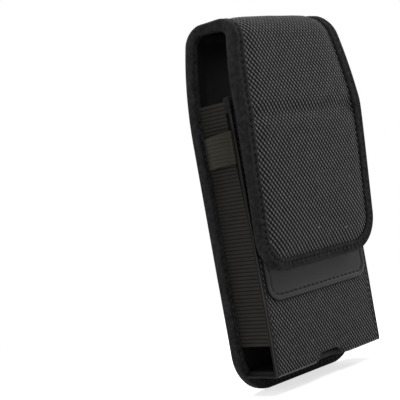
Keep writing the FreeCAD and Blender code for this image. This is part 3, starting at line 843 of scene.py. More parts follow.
port = dict(
    middle=(0.0, (portStart + portEnd) / 2), half=(frontCut["portHalf"], (portEnd - portStart) / 2),
    radii=(frontCut["portRound"], frontCut["portRound"]), margin=3.0,
)
half, fold = frontCut["half"], frontCut["sideFold"]
edgeColumns = [half - e for e in (0, 0.12, 0.35, 0.7, 1.1, fold)]
edgeColumns += [half - fold - 0.15] + [half - e for e in (2.4, 3.0, 3.6, 4.6)]
frontColumns = sorted([-x for x in edgeColumns] + edgeColumns + spaced(-half + 6, half - 6, 1.5))
frontRows = stepped(0.9, 1.7, hemLength - 8, 0.5, hemLength + 8, 1.5, frontRun)
frontShell = slab("frontShell", gridPlan(frontColumns, frontRows, holes=[port]), frontPlace, frontFace, frontDeep)
dress(frontShell, ballisticNylon)


def frontFinish(spot, normal):  # the turned side edge is plain and darkened as painted shade, with a painted highlight along its fold
    inward = frontCut["half"] - abs(spot.x)
    low, high = frontCut["foldLine"]
    if inward >= frontCut["plainStrip"]:
        return 0
    return 2 if low < inward < high and normal.y < -0.2 else 1


paintFaces(frontShell, [edgeNylon, foldLight], frontFinish)
liningColumns = spaced(-half + fold + 0.2, half - fold - 0.2, 1.6)
liningPlan = gridPlan(liningColumns, frontRows, holes=[port])
frontLining = slab(
    "frontLining", liningPlan, frontPlace, lambda x, s: frontCut["nylonDeep"], lambda x, s: frontCut["wallDeep"]
)
dress(frontLining, liningCloth)


def portLine():  # the port hole's outline on the front's plan
    (hx, hs), (cx, cs), r = port["half"], port["middle"], frontCut["portRound"]
    line = []
    for k in range(72):
        a = math.radians(5 * k + 2.5)
        c, n = math.cos(a), math.sin(a)
        line.append((cx + math.copysign(hx - r, c) + r * c, cs + math.copysign(hs - r, n) + r * n))
    return line + line[:1]


def ovalSection(middle, half, deep, step):  # about a depth
    return [(half * math.cos(a), middle + deep * math.sin(a)) for a in turnsOf(0, 360, step)]


portRimCut = dict(middle=1.05, half=0.28, deep=1.2, step=30)
hemCut = dict(radius=0.3, proud=0.08, runs=((-41.0, -11.5), (11.5, 41.0)))
hemPieces = []


def portRimSection(x, s, run):  # a narrow turned edge round the hole
    return ovalSection(**portRimCut)


def hemSection(x, s, run):
    return ovalSection(frontFace(x, s) - hemCut["proud"], hemCut["radius"], hemCut["radius"], 45)


for number, (low, high) in enumerate(hemCut["runs"]):  # the sharp lower fold, with a paler line along it as a painted highlight
    frames = evenly([(x, hemLength - 0.2) for x in spaced(low, high, 1)], 1.2)
    hemPieces.append(dress(sweep("hemEdge" + str(number), frames, hemSection, frontPlace), hemLight))
portFrames = evenly(portLine(), 0.7)[:-1]
# the hole's turned edge takes the same painted highlight colour
portRim = dress(sweep("portRim", portFrames, portRimSection, frontPlace, closed=True), foldLight)

mouthCut = dict(
    half=41.9, closedAt=14.9,
    outer=[
        (-37.38, 14.7), (-37.74, 15.0), (-37.84, 16.2), (-37.86, 18.4), (-37.74, 20.6),
        (-37.35, 21.9), (-36.6, 22.55), (-35.8, 22.72), (-35.0, 22.55), (-34.28, 21.9),
        (-33.9, 20.6), (-33.8, 18.4), (-33.84, 16.2), (-33.95, 15.0), (-34.22, 14.7),
    ],
    inner=[(-34.3, 19.8), (-34.8, 21.2), (-35.8, 21.8), (-36.8, 21.2), (-37.3, 19.8)],
    seamHalf=41, seamAt=(-37.86, 16.4),
)


def mouthPlace(x, s, depth):  # here the section is given as (y, z)
    return Vector((x, s, depth)) * mm


def mouthSection(x, s, run):
    closed = abs(x) > mouthCut["half"] - 0.2
    return mouthCut["outer"] + [(y, mouthCut["closedAt"] if closed else z) for y, z in mouthCut["inner"]]


mouthEnds = mouthCut["half"] - 0.3
mouthSpots = [-mouthCut["half"], *spaced(-mouthEnds, mouthEnds, 1.4), mouthCut["half"]]
mouthFrames = [(x, 0.0, 0.0, 1.0, x) for x in mouthSpots]
mouthBinding = dress(sweep("mouthBinding", mouthFrames, mouthSection, mouthPlace), bindingTape)
print("pouch front made")

# Closure patch: smooth sheet with pressed edges and a sewn channel
patchCut = dict(
    half=39.0, top=-17.8, bottom=-77.8, corner=8.0, thick=1.2, edge=0.9, edgeDrop=0.55, darkEdge=0.6,
    channel=3.1, channelDeep=0.6, channelWide=0.45, bulge=0.3, bulgeAt=1.6, bulgeWide=0.7,
    rings=[0.0, 0.15, 0.45, 0.9, 1.6, 2.2, 2.6, 2.9, 3.1, 3.3, 3.6, 4.0, 4.6, 5.6, 6.8, 8.0],
)
patchShape = (  # half width, both ends and the corner, on the front's plan
    patchCut["half"], frontCut["mouth"] - patchCut["top"], frontCut["mouth"] - patchCut["bottom"], patchCut["corner"],
)


def roundedLine(half, low, high, corner, e, straight=14, arc=8):  # a rounded rectangle's outline, e in from its edge
    hx, hs, r = half - e, (high - low) / 2 - e, max(0.0, corner - e)
    middle = (low + high) / 2
    line = []
    for cx, cs, a0 in ((1, 1, 0), (-1, 1, 90), (-1, -1, 180), (1, -1, 270)):
        kx, ks = cx * (hx - r), cs * (hs - r)
        for k in range(arc + 1):
            a = math.radians(a0 + 90 * k / arc)
            line.append((kx + r * math.cos(a), middle + ks + r * math.sin(a)))
        end = line[-1]
        turn = math.radians(a0 + 90)
        nextLength = 2 * (hx - r) if a0 in (0, 180) else 2 * (hs - r)
        for k in range(1, straight):
            t = nextLength * k / straight
            line.append((end[0] - math.sin(turn) * t, end[1] + math.cos(turn) * t))
    return line


def ringPlan(half, low, high, corner, rings, straight=28, arc=8):  # outlines inside each other, then a grid
    size = 4 * (arc + straight)
    points, faces = [], ringQuads(len(rings), size)
    for e in rings:
        points += roundedLine(half, low, high, corner, e, straight, arc)
    last = (len(rings) - 1) * size
    corners = [last + q % 4 * (arc + straight) + arc for q in range(5)]
    top, left, base, right = ([a + k for k in range(straight)] + [b] for a, b in zip(corners, corners[1:]))
    grid = [top]
    for j in range(1, straight):
        a, b = left[j], right[straight - j]
        row = [right[straight - j]]
        for i in range(1, straight):
            t = i / straight
            x = points[b][0] + (points[a][0] - points[b][0]) * t
            row.append(len(points))
            points.append((x, points[a][1]))
        grid.append(row + [a])
    grid.append(list(reversed(base)))
    for upper, lower in zip(grid, grid[1:]):
        for i in range(straight):
            faces.append((upper[i], upper[i + 1], lower[i + 1], lower[i]))
    return points, faces


def patchEdge(x, s):
    half, low, high, corner = patchShape
    return cornered(half - abs(x), min(s - low, high - s), corner)


def patchFace(x, s):
    cut = patchCut
    e = patchEdge(x, s)
    edge = rolled(e, cut["edge"], cut["edgeDrop"])
    channel = cut["channelDeep"] * ridge(e - cut["channel"], cut["channelWide"])
    bulge = cut["bulge"] * ridge(e - cut["bulgeAt"], cut["bulgeWide"])
    return frontFace(x, s) - cut["thick"] + edge + channel - bulge


patchPlan = ringPlan(*patchShape, patchCut["rings"])
closurePatch = slab("closurePatch", patchPlan, frontPlace, patchFace, lambda x, s: frontFace(x, s) + 0.05)
pointOutwards(closurePatch.data, merge=1e-6)
dress(closurePatch, patchLeather)
paintFaces(  # the cut edge is dark
    closurePatch, [cutEdge],
    lambda spot, normal: 1 if patchEdge(spot.x, frontCut["mouth"] - spot.z) < patchCut["darkEdge"] else 0,
)
print("closure patch made")

# Belt band: a wide cloth across the back, hemmed at both edges, its ends caught in the binding
bandCut = dict(
    low=bandHeights[0], high=bandHeights[1], thick=1.25, hem=0.7, topHem=10.0, lowHem=7.6, tuck=4.3, seam=34.0,
    topSeam=9.0, lowSeam=6.6, seamRuns=((-40.5, -17.2), (17.2, 40.5)), seamDeep=0.7, seamWide=0.6,
    sideDeep=0.9, sideWide=0.7, edge=0.7, edgeDrop=0.5, hemLead=0.9, highlightEdge=0.4,
)


def bandEdge(s):
    return shellHalf(s) - bandCut["tuck"]


def bandFace(x, s):
    cut = bandCut
    z = cut["low"] + s - (cut["low"] - shellCut["bottom"])
    e = shellHalf(s) - abs(x)
    full = smooth((e - cut["tuck"]) / 5.0)
    fromTop, fromLow = cut["high"] - z, z - cut["low"]
    hem = smooth((cut["topHem"] - fromTop) / cut["hemLead"] + 0.5)
    hem += smooth((cut["lowHem"] - fromLow) / cut["hemLead"] + 0.5)
    rimmed = rolled(min(fromTop, fromLow), cut["edge"], cut["edgeDrop"])
    wide = cut["seamWide"]
    sewn = cut["seamDeep"] * (ridge(fromTop - cut["topSeam"], wide) + ridge(fromLow - cut["lowSeam"], wide))
    sewn += cut["sideDeep"] * ridge(abs(x) - cut["seam"], cut["sideWide"])
    body = cut["thick"] * (0.35 + 0.65 * full) + cut["hem"] * hem * (0.3 + 0.7 * full)
    return outerFace(x, s) - body + rimmed + sewn * full


low, high = bandHeights
bandRows = stepped(low, 0.25, low + 1, 0.5, low + 9, 1.6, high - 12, 0.5, high - 1, 0.25, high)
bandRows = [z - shellCut["bottom"] for z in bandRows]
bandShares = sorted(
    crowded(60)
    + [side * (bandCut["seam"] + off) / 41.5 for side in (-1, 1) for off in (-0.9, -0.45, 0.0, 0.45, 0.9)]
)
bandPlan = gridPlan(bandShares, bandRows, bandEdge)
beltBand = slab("beltBand", bandPlan, shellPlace, bandFace, lambda x, s: outerFace(x, s) + 0.05)
dress(beltBand, bandNylon)
paintFaces(  # its two folded edges are painted lighter, as a painted highlight
    beltBand, [foldLight],
    lambda spot, normal: 1 if min(bandCut["high"] - spot.z, spot.z - bandCut["low"]) < bandCut["highlightEdge"] else 0,
)
print("belt band made")

# Belt strap: two layers of cloth with the clip's plate between them
strapCut = dict(
    half=16.5, thick=1.0, top=16.7, low=-66.3, rise=(8.7, 1.7), fall=(-51.3, -58.3), radius=3.4,
    frontSeat=-9.2, frontRaised=-3.0, frontLead=0.5,
    backSeat=-10.2, backRaised=-5.2, backTop=11.5,
    slitHalf=13.3, slit=(-3.7, 1.5), seam=2.0, seamDeep=0.35, rim=0.35, plainEdge=0.4,
    seamRows=(1.6, 6.6, -6.4, -1.6),  # from its top, and from its lower end
)


def strapPath(seat, raised, top, lead):
    cut = strapCut
    points = [
        (seat, top), (seat, cut["rise"][0] + lead), (raised, cut["rise"][1] + lead),
        (raised, cut["fall"][0] - lead), (seat, cut["fall"][1] - lead), (seat, cut["low"]),
    ]
    return bentPath(points, [cut["radius"]] * 4)


def strapLayer(name, seat, raised, top, lead, slit):
    at, run = strapPath(seat, raised, top, lead)
    halfThick, half = strapCut["thick"] / 2, strapCut["half"]
    rows, cuts = spaced(0, run, 1.2), []
    columns = spaced(-half, half, 1.5)
    if slit:
        ends = [lengthWhere(at, lambda y, z, h=h: h - z, 8.5, run - 20) for h in reversed(strapCut["slit"])]
        rows = spaced(0, ends[0], 1.2) + spaced(*ends, 0.9)[1:] + spaced(ends[1], run, 1.2)[1:]
        wide = strapCut["slitHalf"]
        columns = spaced(-half, -wide, 0.8) + spaced(-wide, wide, 1.5)[1:] + spaced(wide, half, 0.8)[1:]
        cuts = [(-wide, wide, *ends)]

    def edgeThin(x):  # the folded edge is sewn flat
        return strapCut["seamDeep"] * ridge(half - strapCut["seam"] - abs(x), 0.7)

    piece = slab(
        name, gridPlan(columns, rows, cuts=cuts), along(at),
        lambda x, s: -halfThick + edgeThin(x), lambda x, s: halfThick, lambda x, s: (-x, s),
    )
    roundRims(piece, strapCut["rim"])
    dress(piece, strapNylon)
    plain = half - strapCut["plainEdge"]
    paintFaces(piece, [edgeNylon], lambda spot, normal: 1 if abs(spot.x) > plain else 0)  # the sides show no weave and are darkened as painted shade
    return piece, at, run


strapRuns = {}
strapFront, strapFrontAt, strapRuns["front"] = strapLayer(
    "strapFront", strapCut["frontSeat"], strapCut["frontRaised"], strapCut["top"], strapCut["frontLead"], True
)
strapBack, _, strapRuns["back"] = strapLayer(
    "strapBack", strapCut["backSeat"], strapCut["backRaised"], strapCut["backTop"], 0.0, False
)
print("belt strap made")

# Belt clip: one strip of spring steel, slotted over its bend
clipCut = dict(
    half=13.0, thick=1.2,
    line=[(-4.1, -35.8), (-4.1, 0.6), (3.1, 0.6), (2.6, -41.8), (-0.8, -45.4), (2.8, -53.8)],
    radii=(3.4, 3.4, 2.4, 1.4), lipCorner=3.0,
    slotHalf=6.4, slotFrom=38.0, slotLow=-38.3, slotCorner=1.6, rim=0.28,
    rivetHeights=(-12.1, -26.1), rivetHole=1.7,
)
clipAt, clipRun = bentPath(clipCut["line"], clipCut["radii"])
slotEnd = lengthWhere(clipAt, lambda y, z: clipCut["slotLow"] - z, 45, clipRun - 12)
slotMiddle = (clipCut["slotFrom"] - 1.0 + slotEnd) / 2
clipHoles = [dict(
    middle=(0.0, slotMiddle), half=(clipCut["slotHalf"], slotEnd - slotMiddle),
    radii=(clipCut["slotCorner"], clipCut["slotHalf"]), margin=1.8,
)]
for height in clipCut["rivetHeights"]:
    clipHoles.append(dict(
        middle=(0.0, height - clipCut["line"][0][1]), half=(clipCut["rivetHole"],) * 2,
        radii=(clipCut["rivetHole"],) * 2, margin=1.0,
    ))
lipRows = [clipRun - clipCut["lipCorner"] * (1 - math.sin(a)) for a in turnsOf(0, 91, 15)]


def clipHalf(s):
    toEnd, r = clipRun - s, clipCut["lipCorner"]
    if toEnd >= r:
        return 1.0
    return (clipCut["half"] - r + math.sqrt(max(0.0, r**2 - (r - toEnd) ** 2))) / clipCut["half"]


clipColumns = spaced(-clipCut["half"], clipCut["half"], 0.8)
clipPlan = gridPlan(clipColumns, spaced(0, lipRows[0], 0.62) + lipRows[1:], holes=clipHoles)
clipPlan = ([(x * clipHalf(s), s) for x, s in clipPlan[0]], clipPlan[1])
beltClip = slab(
    "beltClip", clipPlan, along(clipAt), lambda x, s: clipCut["thick"] / 2, lambda x, s: -clipCut["thick"] / 2
)
roundRims(beltClip, clipCut["rim"], 2)
markRims(beltClip)
dress(beltClip, clipSteel)


def lathe(name, centre, profile, segments=40):  # (radius, y) profile turned about Y, closed at both ends
    verts = []
    for r, y in profile[1:-1]:
        for a in ringAngles(segments):
            verts.append(Vector((centre[0] + r * math.cos(a), y, centre[1] + r * math.sin(a))) * mm)
    rings = len(profile) - 2
    polys = ringQuads(rings, segments)
    for ring, y in ((0, profile[0][1]), (rings - 1, profile[-1][1])):
        verts.append(Vector((centre[0], y, centre[1])) * mm)
        tip = len(verts) - 1
        for k in range(segments):
            polys.append([ring * segments + k, ring * segments + (k + 1) % segments, tip])
    return meshPiece(name, verts, polys, sharp=40)


rivetCut = dict(head=3.4, high=1.5, seat=-2.5, shank=1.6, tailSeat=-6.3, tailEnd=-6.7, tail=2.3, edge=0.25)


def rivetProfile(head, high, seat, shank, tailSeat, tailEnd, tail, edge):
    dome = [(head * math.cos(a), seat + edge + (high - edge) * math.sin(a)) for a in turnsOf(0, 81, 10)]
    return [
        (0.0, tailEnd), (tail - 0.2, tailEnd), (tail, tailEnd + 0.15), (tail, tailSeat),
        (shank, tailSeat), (shank, seat), (head - 0.15, seat), *dome, (0.0, seat + high),
    ]


clipRivets = []
for place, height in zip(("Upper", "Lower"), clipCut["rivetHeights"]):
    rivet = lathe("clipRivet" + place, (0.0, height), rivetProfile(**rivetCut))
    clipRivets.append(dress(rivet, rivetSatin))
print("clip and rivets made")

# D-ring and its webbing tab
ringCut = dict(wire=0.9, half=9.1, leg=4.0, corner=1.6, y=-10.2, z=18.45, round=20)


def ringLine(cut):
    line = []
    for side in (-1, 1):
        cx = side * (cut["half"] - cut["corner"])
        turns = turnsOf(180, 271, 15) if side < 0 else turnsOf(270, 361, 15)
        line += [(cx + cut["corner"] * math.cos(a), cut["corner"] * (1 + math.sin(a))) for a in turns]
        if side < 0:
            line += [(x, 0.0) for x in spaced(cx, -cx, 1.5)[1:-1]]
    return line + [(cut["half"] * math.cos(a), cut["leg"] + cut["half"] * math.sin(a)) for a in turnsOf(0, 181, 5)]


ringPoints, ringVerts = ringLine(ringCut), []
for i, (x, z) in enumerate(ringPoints):
    before, after = ringPoints[i - 1], ringPoints[(i + 1) % len(ringPoints)]
    size = math.dist(before, after)
    nx, nz = (after[1] - before[1]) / size, -(after[0] - before[0]) / size
    for a in ringAngles(ringCut["round"]):
        out, across = ringCut["wire"] * math.cos(a), ringCut["wire"] * math.sin(a)
        ringVerts.append(Vector((x + nx * out, ringCut["y"] + across, ringCut["z"] + z + nz * out)) * mm)
ringPolys = ringQuads(len(ringPoints), ringCut["round"], closed=True)
dRing = dress(meshPiece("dRing", ringVerts, ringPolys), ringNickel)

tabCut = dict(
    half=7.3, thick=0.5, rib=0.8, ribDeep=0.06,
    line=[
        (-10.45, 11.5), (-10.45, 16.9), (-11.4, 17.55), (-11.4, 19.65),
        (-9.0, 19.65), (-9.0, 17.55), (-9.95, 16.9), (-9.95, 11.5),
    ],
    radii=(0.5, 0.5, 1.18, 1.18, 0.5, 0.5),
)
tabAt, tabRun = bentPath(tabCut["line"], tabCut["radii"])
ringTab = slab(
    "ringTab", gridPlan(spaced(-tabCut["half"], tabCut["half"], 0.7), spaced(0, tabRun, 0.16)), along(tabAt),
    lambda x, s: tabCut["thick"] / 2 + tabCut["ribDeep"] * (math.cos(2 * math.pi * s / tabCut["rib"]) - 1),
    lambda x, s: -tabCut["thick"] / 2,
)
dress(ringTab, tabWebbing)
print("ring and tab made")

# What repeats: ribs of the elastic, and stitches along their lines, by Geometry Nodes


def nodeTree(name, sockets):
    tree = bpy.data.node_groups.new(name, "GeometryNodeTree")
    for label, kind in [("Geometry", "Geometry"), *sockets, ("Finish", "Material")]:
        tree.interface.new_socket(label, in_out="INPUT", socket_type="NodeSocket" + kind)
    tree.interface.new_socket("Geometry", in_out="OUTPUT", socket_type="NodeSocketGeometry")
    return Bench(tree), tree.nodes.new("NodeGroupInput").outputs


def copied(bench, given, **sockets):  # instances made real, with the finish on
    copies = bench.node("GeometryNodeInstanceOnPoints", sockets)
    solid = bench.node("GeometryNodeRealizeInstances", {0: copies})
    painted = bench.node("GeometryNodeSetMaterial", {"Geometry": solid, "Material": given["Finish"]})
    bench.join(painted, bench.tree.nodes.new("NodeGroupOutput").inputs[0])
    return bench.tree


def ribTree():  # one rib, repeated upwards
    bench, given = nodeTree("elasticRibs", [("Count", "Int"), ("Pitch", "Float")])
    step = bench.node("ShaderNodeCombineXYZ", {2: given["Pitch"]})
    row = bench.node("GeometryNodeMeshLine", {"Count": given["Count"], "Offset": step})
    return copied(bench, given, Points=row, Instance=given["Geometry"])


def stitchTree():  # one stitch at each step along every line of edges
    sizes = [("Pitch", "Float"), ("Stitch Length", "Float"), ("Thread Radius", "Float")]
    bench, given = nodeTree("stitchRun", sizes)
    line = bench.node("GeometryNodeMeshToCurve", {0: given["Geometry"]})
    steps = bench.tree.nodes.new("GeometryNodeCurveToPoints")
    steps.mode = "LENGTH"
    bench.join(line, steps.inputs["Curve"])
    bench.join(given["Pitch"], steps.inputs["Length"])
    turn = bench.node("FunctionNodeAlignRotationToVector", {"Vector": steps.outputs["Tangent"]}, axis="Z")
    thread = bench.node("GeometryNodeMeshUVSphere", {"Segments": 8, "Rings": 6, "Radius": 1.0})
    radius, half = given["Thread Radius"], bench.calc("MULTIPLY", given["Stitch Length"], 0.5)
    size = bench.node("ShaderNodeCombineXYZ", {0: radius, 1: radius, 2: half})
    return copied(bench, given, Points=steps.outputs["Points"], Rotation=turn, Instance=thread, Scale=size)


def grow(piece, tree, values):  # runs the tree on the piece and keeps the plain mesh
    run = piece.modifiers.new(tree.name, "NODES")
    run.node_group = tree
    for item in tree.interface.items_tree:
        if item.in_out == "INPUT" and item.name in values:
            run[item.identifier] = values[item.name]
    return settle(piece)


ribs, stitches = ribTree(), stitchTree()
elasticCut = dict(
    outer=42.0, thick=1.4, front=-36.15, back=-17.2, low=-97.8, high=21.9,
    pitch=1.82, overlap=1.08, bow=0.35, drawn=2.0, drawnFrom=-45.0, drawnRun=60.0,
)
elasticCount = int((elasticCut["high"] - elasticCut["low"]) / elasticCut["pitch"])


def elasticPiece(name, side):
    cut = elasticCut
    across, around, verts = spaced(cut["front"], cut["back"], 0.9), 10, []
    for y in across:
        t = (y - cut["front"]) / (cut["back"] - cut["front"])
        hollow = cut["bow"] * 4 * t * (1 - t)  # the empty elastic draws in a little
        for a in ringAngles(around):
            x = cut["outer"] - cut["thick"] / 2 - hollow + cut["thick"] / 2 * math.cos(a)
            z = cut["low"] + cut["pitch"] / 2 + cut["pitch"] / 2 * cut["overlap"] * math.sin(a)
            verts.append(Vector((side * x, y, z)) * mm)
    last = (len(across) - 1) * around
    ends = [list(range(around)), list(range(last, last + around))]
    piece = meshPiece(name, verts, ringQuads(len(across), around) + ends)
    grow(piece, ribs, {"Count": elasticCount, "Pitch": cut["pitch"] * mm, "Finish": sideElastic})
    for vert in piece.data.vertices:  # its front end lies further in near the top
        share = (cut["back"] * mm - vert.co.y) / ((cut["back"] - cut["front"]) * mm)
        vert.co.y += share * cut["drawn"] * mm * smooth((vert.co.z / mm - cut["drawnFrom"]) / cut["drawnRun"])
    return piece


elasticLeft = elasticPiece("elasticLeft", -1)
elasticRight = elasticPiece("elasticRight", 1)

loopCut = dict(
    x=-42.0, thick=1.2, bow=2.2, low=-9.8, high=5.7, front=-36.2, back=-18.1,
    foot=1.6, rib=1.86, ribDeep=0.3, lean=0.085, edge=0.5, edgeDrop=0.4,
)


def loopPlace(x, s, depth):  # x runs round the bow here, s is the height, and depth is outwards
    cut = loopCut
    t = (x - cut["front"] - cut["foot"]) / (cut["back"] - cut["front"] - 2 * cut["foot"])
    lift = cut["bow"] * math.sin(math.pi * min(1.0, max(0.0, t))) ** 0.8
    tilt = cut["lean"] * ((cut["front"] + cut["back"]) / 2 - x)
    return Vector((cut["x"] - lift - depth, x, s + tilt)) * mm


def loopFace(x, s):
    cut = loopCut
    wave = abs(math.sin(math.pi * (s - cut["low"]) / cut["rib"]))
    rim = rolled(min(s - cut["low"], cut["high"] - s), cut["edge"], cut["edgeDrop"])
    return cut["thick"] - cut["ribDeep"] * (1 - wave) - rim


penLoop = slab(
    "penLoop", gridPlan(spaced(loopCut["front"], loopCut["back"], 0.6), spaced(loopCut["low"], loopCut["high"], 0.125)),
    loopPlace, loopFace, lambda x, s: 0.02,
)
dress(penLoop, loopWebbing)
loopLine = [loopPlace(x, 0.0, 0.6) / mm for x in spaced(loopCut["front"], loopCut["back"], 0.6)]
loopFlat = sum((b - a).length for a, b in zip(loopLine, loopLine[1:]))
print("elastic and loop made")


def threadPiece(name, lines, pitch, length, radius, finish):
    verts, edges = [], []
    for line in lines:
        first = len(verts)
        verts += line
        edges += [(k, k + 1) for k in range(first, len(verts) - 1)]
    mesh = bpy.data.meshes.new(name)
    mesh.from_pydata(verts, edges, [])
    piece = linked(name, mesh)
    grow(piece, stitches, {
        "Pitch": pitch * mm, "Stitch Length": length * mm, "Thread Radius": radius * mm, "Finish": finish,
    })
    piece.data.shade_smooth()
    return piece


def rimThread(rim):  # both faces of the binding
    lines = []
    for front in (True, False):
        line = []
        for x, s, mx, ms, run in rim:
            shallow, e = thickAt(s) + 0.05, bindingCut["stitchLine"] * tapeWide(s)
            if front:
                ring = bindingSection(x, s, run)
                shallow = ring[4][1] - bindingCut["dimple"] * 0.1
            line.append(shellPlace(x + mx * e, s + ms * e, shallow))
        lines.append(line)
    return lines


threadCut = dict(pitch=3.3, length=2.1, radius=0.2)
patchSeamCut = dict(pitch=3.35, length=2.3, radius=0.6)
pouchSeamCut = dict(pitch=3.3, length=2.6, radius=0.45)
backThread = threadPiece("backThread", rimThread(backRim), finish=tapeThread, **threadCut)
flapThread = threadPiece("flapThread", rimThread(flapRim), finish=tapeThread, **threadCut)

channel = roundedLine(*patchShape, patchCut["channel"], 40, 10)
channelLine = [frontPlace(x, s, patchFace(x, s) - 0.08) for x, s in channel + channel[:1]]
patchThreadPiece = threadPiece("patchThread", [channelLine], finish=patchThread, **patchSeamCut)
sewn = []
for side in (-1, 1):
    x = side * (frontCut["half"] - frontCut["seam"])
    sewn.append([frontPlace(x, s, frontFace(x, s)) for s in spaced(9, hemLength - 3, 2)])
    x = side * bandCut["seam"]
    sewn.append([shellPlace(x, s, bandFace(x, s)) for s in spaced(bandRows[0] + 2, bandRows[-1] - 1, 2)])
for fromEdge in (bandRows[-1] - bandCut["topSeam"], bandRows[0] + bandCut["lowSeam"]):
    for low, high in bandCut["seamRuns"]:
        sewn.append([shellPlace(x, fromEdge, bandFace(x, fromEdge)) for x in spaced(low, high, 1)])
mouthSeams = spaced(-mouthCut["seamHalf"], mouthCut["seamHalf"], 2)
sewn.append([Vector((x, *mouthCut["seamAt"])) * mm for x in mouthSeams])
strapPlace, seamX = along(strapFrontAt), strapCut["half"] - strapCut["seam"]
for x in (-seamX, seamX):
    sewn.append([strapPlace(x, s, -0.45) for s in spaced(1.5, strapRuns["front"] - 1, 1)])
for row in strapCut["seamRows"]:
    s = row if row > 0 else strapRuns["front"] + row
    sewn.append([strapPlace(x, s, -0.5) for x in spaced(-seamX, seamX, 1)])
pouchThread = threadPiece("pouchThread", sewn, finish=seamThread, **pouchSeamCut)
print("stitches made")

# Which body each piece moves with, and what it stands for
for piece in (backShell, backLining, backBinding, backThread):
    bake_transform(piece)
for piece in (flapShell, flapLining, flapBinding, flapThread):
    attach(piece, "flap")
for piece in (
    frontShell, frontLining, portRim, *hemPieces, mouthBinding, closurePatch, beltBand, strapFront, strapBack, beltClip,
    ringTab, elasticLeft, elasticRight, penLoop, patchThreadPiece, pouchThread, *clipRivets,
):
    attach(piece, "pouch")
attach(dRing, "ring")
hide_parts("back_nylon", "back_foam")
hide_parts("back_lining")
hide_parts("back_binding")
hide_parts("flap_nylon", "flap_foam")
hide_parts("flap_lining")
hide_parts("flap_binding")
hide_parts("front_nylon", "front_foam")
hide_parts("front_lining")
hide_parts("mouth_binding")
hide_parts("closure_patch")
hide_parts("belt_band")
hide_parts("strap_front")
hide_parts("strap_back")
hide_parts("belt_clip")
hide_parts("clip_rivet_upper")
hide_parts("clip_rivet_lower")
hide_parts("ring_tab")
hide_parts("d_ring")
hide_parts("elastic_left")
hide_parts("elastic_right")
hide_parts("pen_loop")
for name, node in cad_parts.items():
    if "magnet" in name:
        finish = magnetPlating
    elif "burr" in name:
        finish = rivetSatin
    else:
        continue
    node.data.materials.clear()
    node.data.materials.append(finish)
shellWide = 2 * (shellCut["halfWidth"] - shellCut["inset"])
strapWide = 2 * strapCut["half"]
slitArea = 2 * strapCut["slitHalf"] * (strapCut["slit"][1] - strapCut["slit"][0])
flatSizes = (  # piece, width and length in mm, area of the cut shape in square metres
    (backLining, shellWide, crease - 0.5, planArea(backPlan)),
    (flapLining, shellWide, flapEnd - 0.5 - crease, planArea(flapPlan)),
    (frontLining, 2 * liningColumns[-1], frontRows[-1] - frontRows[0], planArea(liningPlan)),
    (closurePatch, 2 * patchCut["half"], patchCut["top"] - patchCut["bottom"], planArea(patchPlan)),
    (beltBand, 2 * bandEdge(bandRows[0]), bandRows[-1] - bandRows[0], planArea(bandPlan)),
    (strapFront, strapWide, strapRuns["front"], (strapWide * strapRuns["front"] - slitArea) * mm * mm),
    (strapBack, strapWide, strapRuns["back"], None),
    (elasticLeft, elasticCut["back"] - elasticCut["front"], elasticCount * elasticCut["pitch"], None),
    (elasticRight, elasticCut["back"] - elasticCut["front"], elasticCount * elasticCut["pitch"], None),
    (penLoop, loopFlat, loopCut["high"] - loopCut["low"], None),
    (ringTab, 2 * tabCut["half"], tabRun, None),
)
for piece, wide, long, area in flatSizes:
    "stretched" if "elastic" in piece.name else "folded"
    print("flat", piece.name, round(wide, 1), round(long, 1), area and round(area * 1e6))

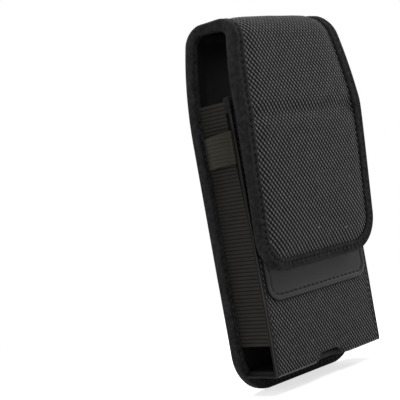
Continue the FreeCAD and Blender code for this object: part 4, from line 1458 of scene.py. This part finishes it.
# Floor, lamps and background
studio = dict(
    floor=-0.1224, size=6.0, floorGlow=0.7, fadeFrom=0.14, fadeTo=0.42, ambient=0.24, level=0.6, aim=(0, -0.02, -0.03),
)
floorMesh = bpy.data.meshes.new("floor")
r, z = studio["size"], studio["floor"]
floorMesh.from_pydata([(-r, -r, z), (r, -r, z), (r, r, z), (-r, r, z)], [], [(0, 1, 2, 3)])
floor = linked("floor", floorMesh)
f = Finish("floorPaper", (230, 230, 230), 0.9, specular=0.0)
seen = f.seen()
away = f.node("ShaderNodeVectorMath", {0: f.place()}, output="Value", operation="LENGTH")
reach = {"Value": away, "From Min": studio["fadeFrom"], "From Max": studio["fadeTo"]}
fade = f.node("ShaderNodeMapRange", reach, interpolation_type="SMOOTHSTEP")
seenFade = f.calc("MULTIPLY", fade, seen)
f.set("Base Color", f.mix(seenFade, linear(230, 230, 230), (0.0, 0.0, 0.0, 1.0)))
glow = f.node("ShaderNodeEmission", {"Strength": f.calc("MULTIPLY", seen, f.between(fade, studio["floorGlow"], 1.0))})
lit = f.node("ShaderNodeAddShader", {0: f.shader.outputs[0], 1: glow})
f.join(lit, f.tree.nodes["Material Output"].inputs["Surface"])
floorMesh.materials.append(f.material)

world = bpy.data.worlds.new("studio")
bpy.context.scene.world = world
world.use_nodes = True
sky = Bench(world.node_tree)
soft = sky.tree.nodes["Background"]
soft.inputs["Color"].default_value = (1, 1, 1, 1)
soft.inputs["Strength"].default_value = studio["ambient"]
white = sky.node("ShaderNodeBackground", {"Color": (1, 1, 1, 1)})
shown = sky.node("ShaderNodeMixShader", {0: sky.seen(), 1: soft.outputs[0], 2: white})
sky.join(shown, sky.tree.nodes["World Output"].inputs["Surface"])

lamps = [  # name, place in metres, size, watts
    ("keyLamp", (-0.2, -0.58, 1.0), 0.4, 7.0),
    ("sideLamp", (-0.9, -0.2, 0.45), 0.5, 1.6),
    ("edgeLamp", (1.0, -0.28, 0.4), 0.4, 6.0),
    ("topLamp", (0.0, 0.1, 1.0), 0.4, 4.5),
    ("backLamp", (0.3, 0.42, 0.5), 0.25, 3.6),
    ("bendLamp", (0.03, 0.5, 0.5), 0.16, 1.3),
    ("backFill", (-0.6, 0.85, 0.1), 0.5, 2.2),
]
for name, place, size, watts in lamps:
    data = bpy.data.lights.new(name, "AREA")
    data.size, data.energy = size, watts * studio["level"]
    lamp = linked(name, data)
    lamp.location = place
    lamp.rotation_euler = (Vector(studio["aim"]) - Vector(place)).to_track_quat("-Z", "Y").to_euler()
bpy.context.scene.view_settings.view_transform = "Standard"
print("studio made")

bpy.context.view_layer.update()
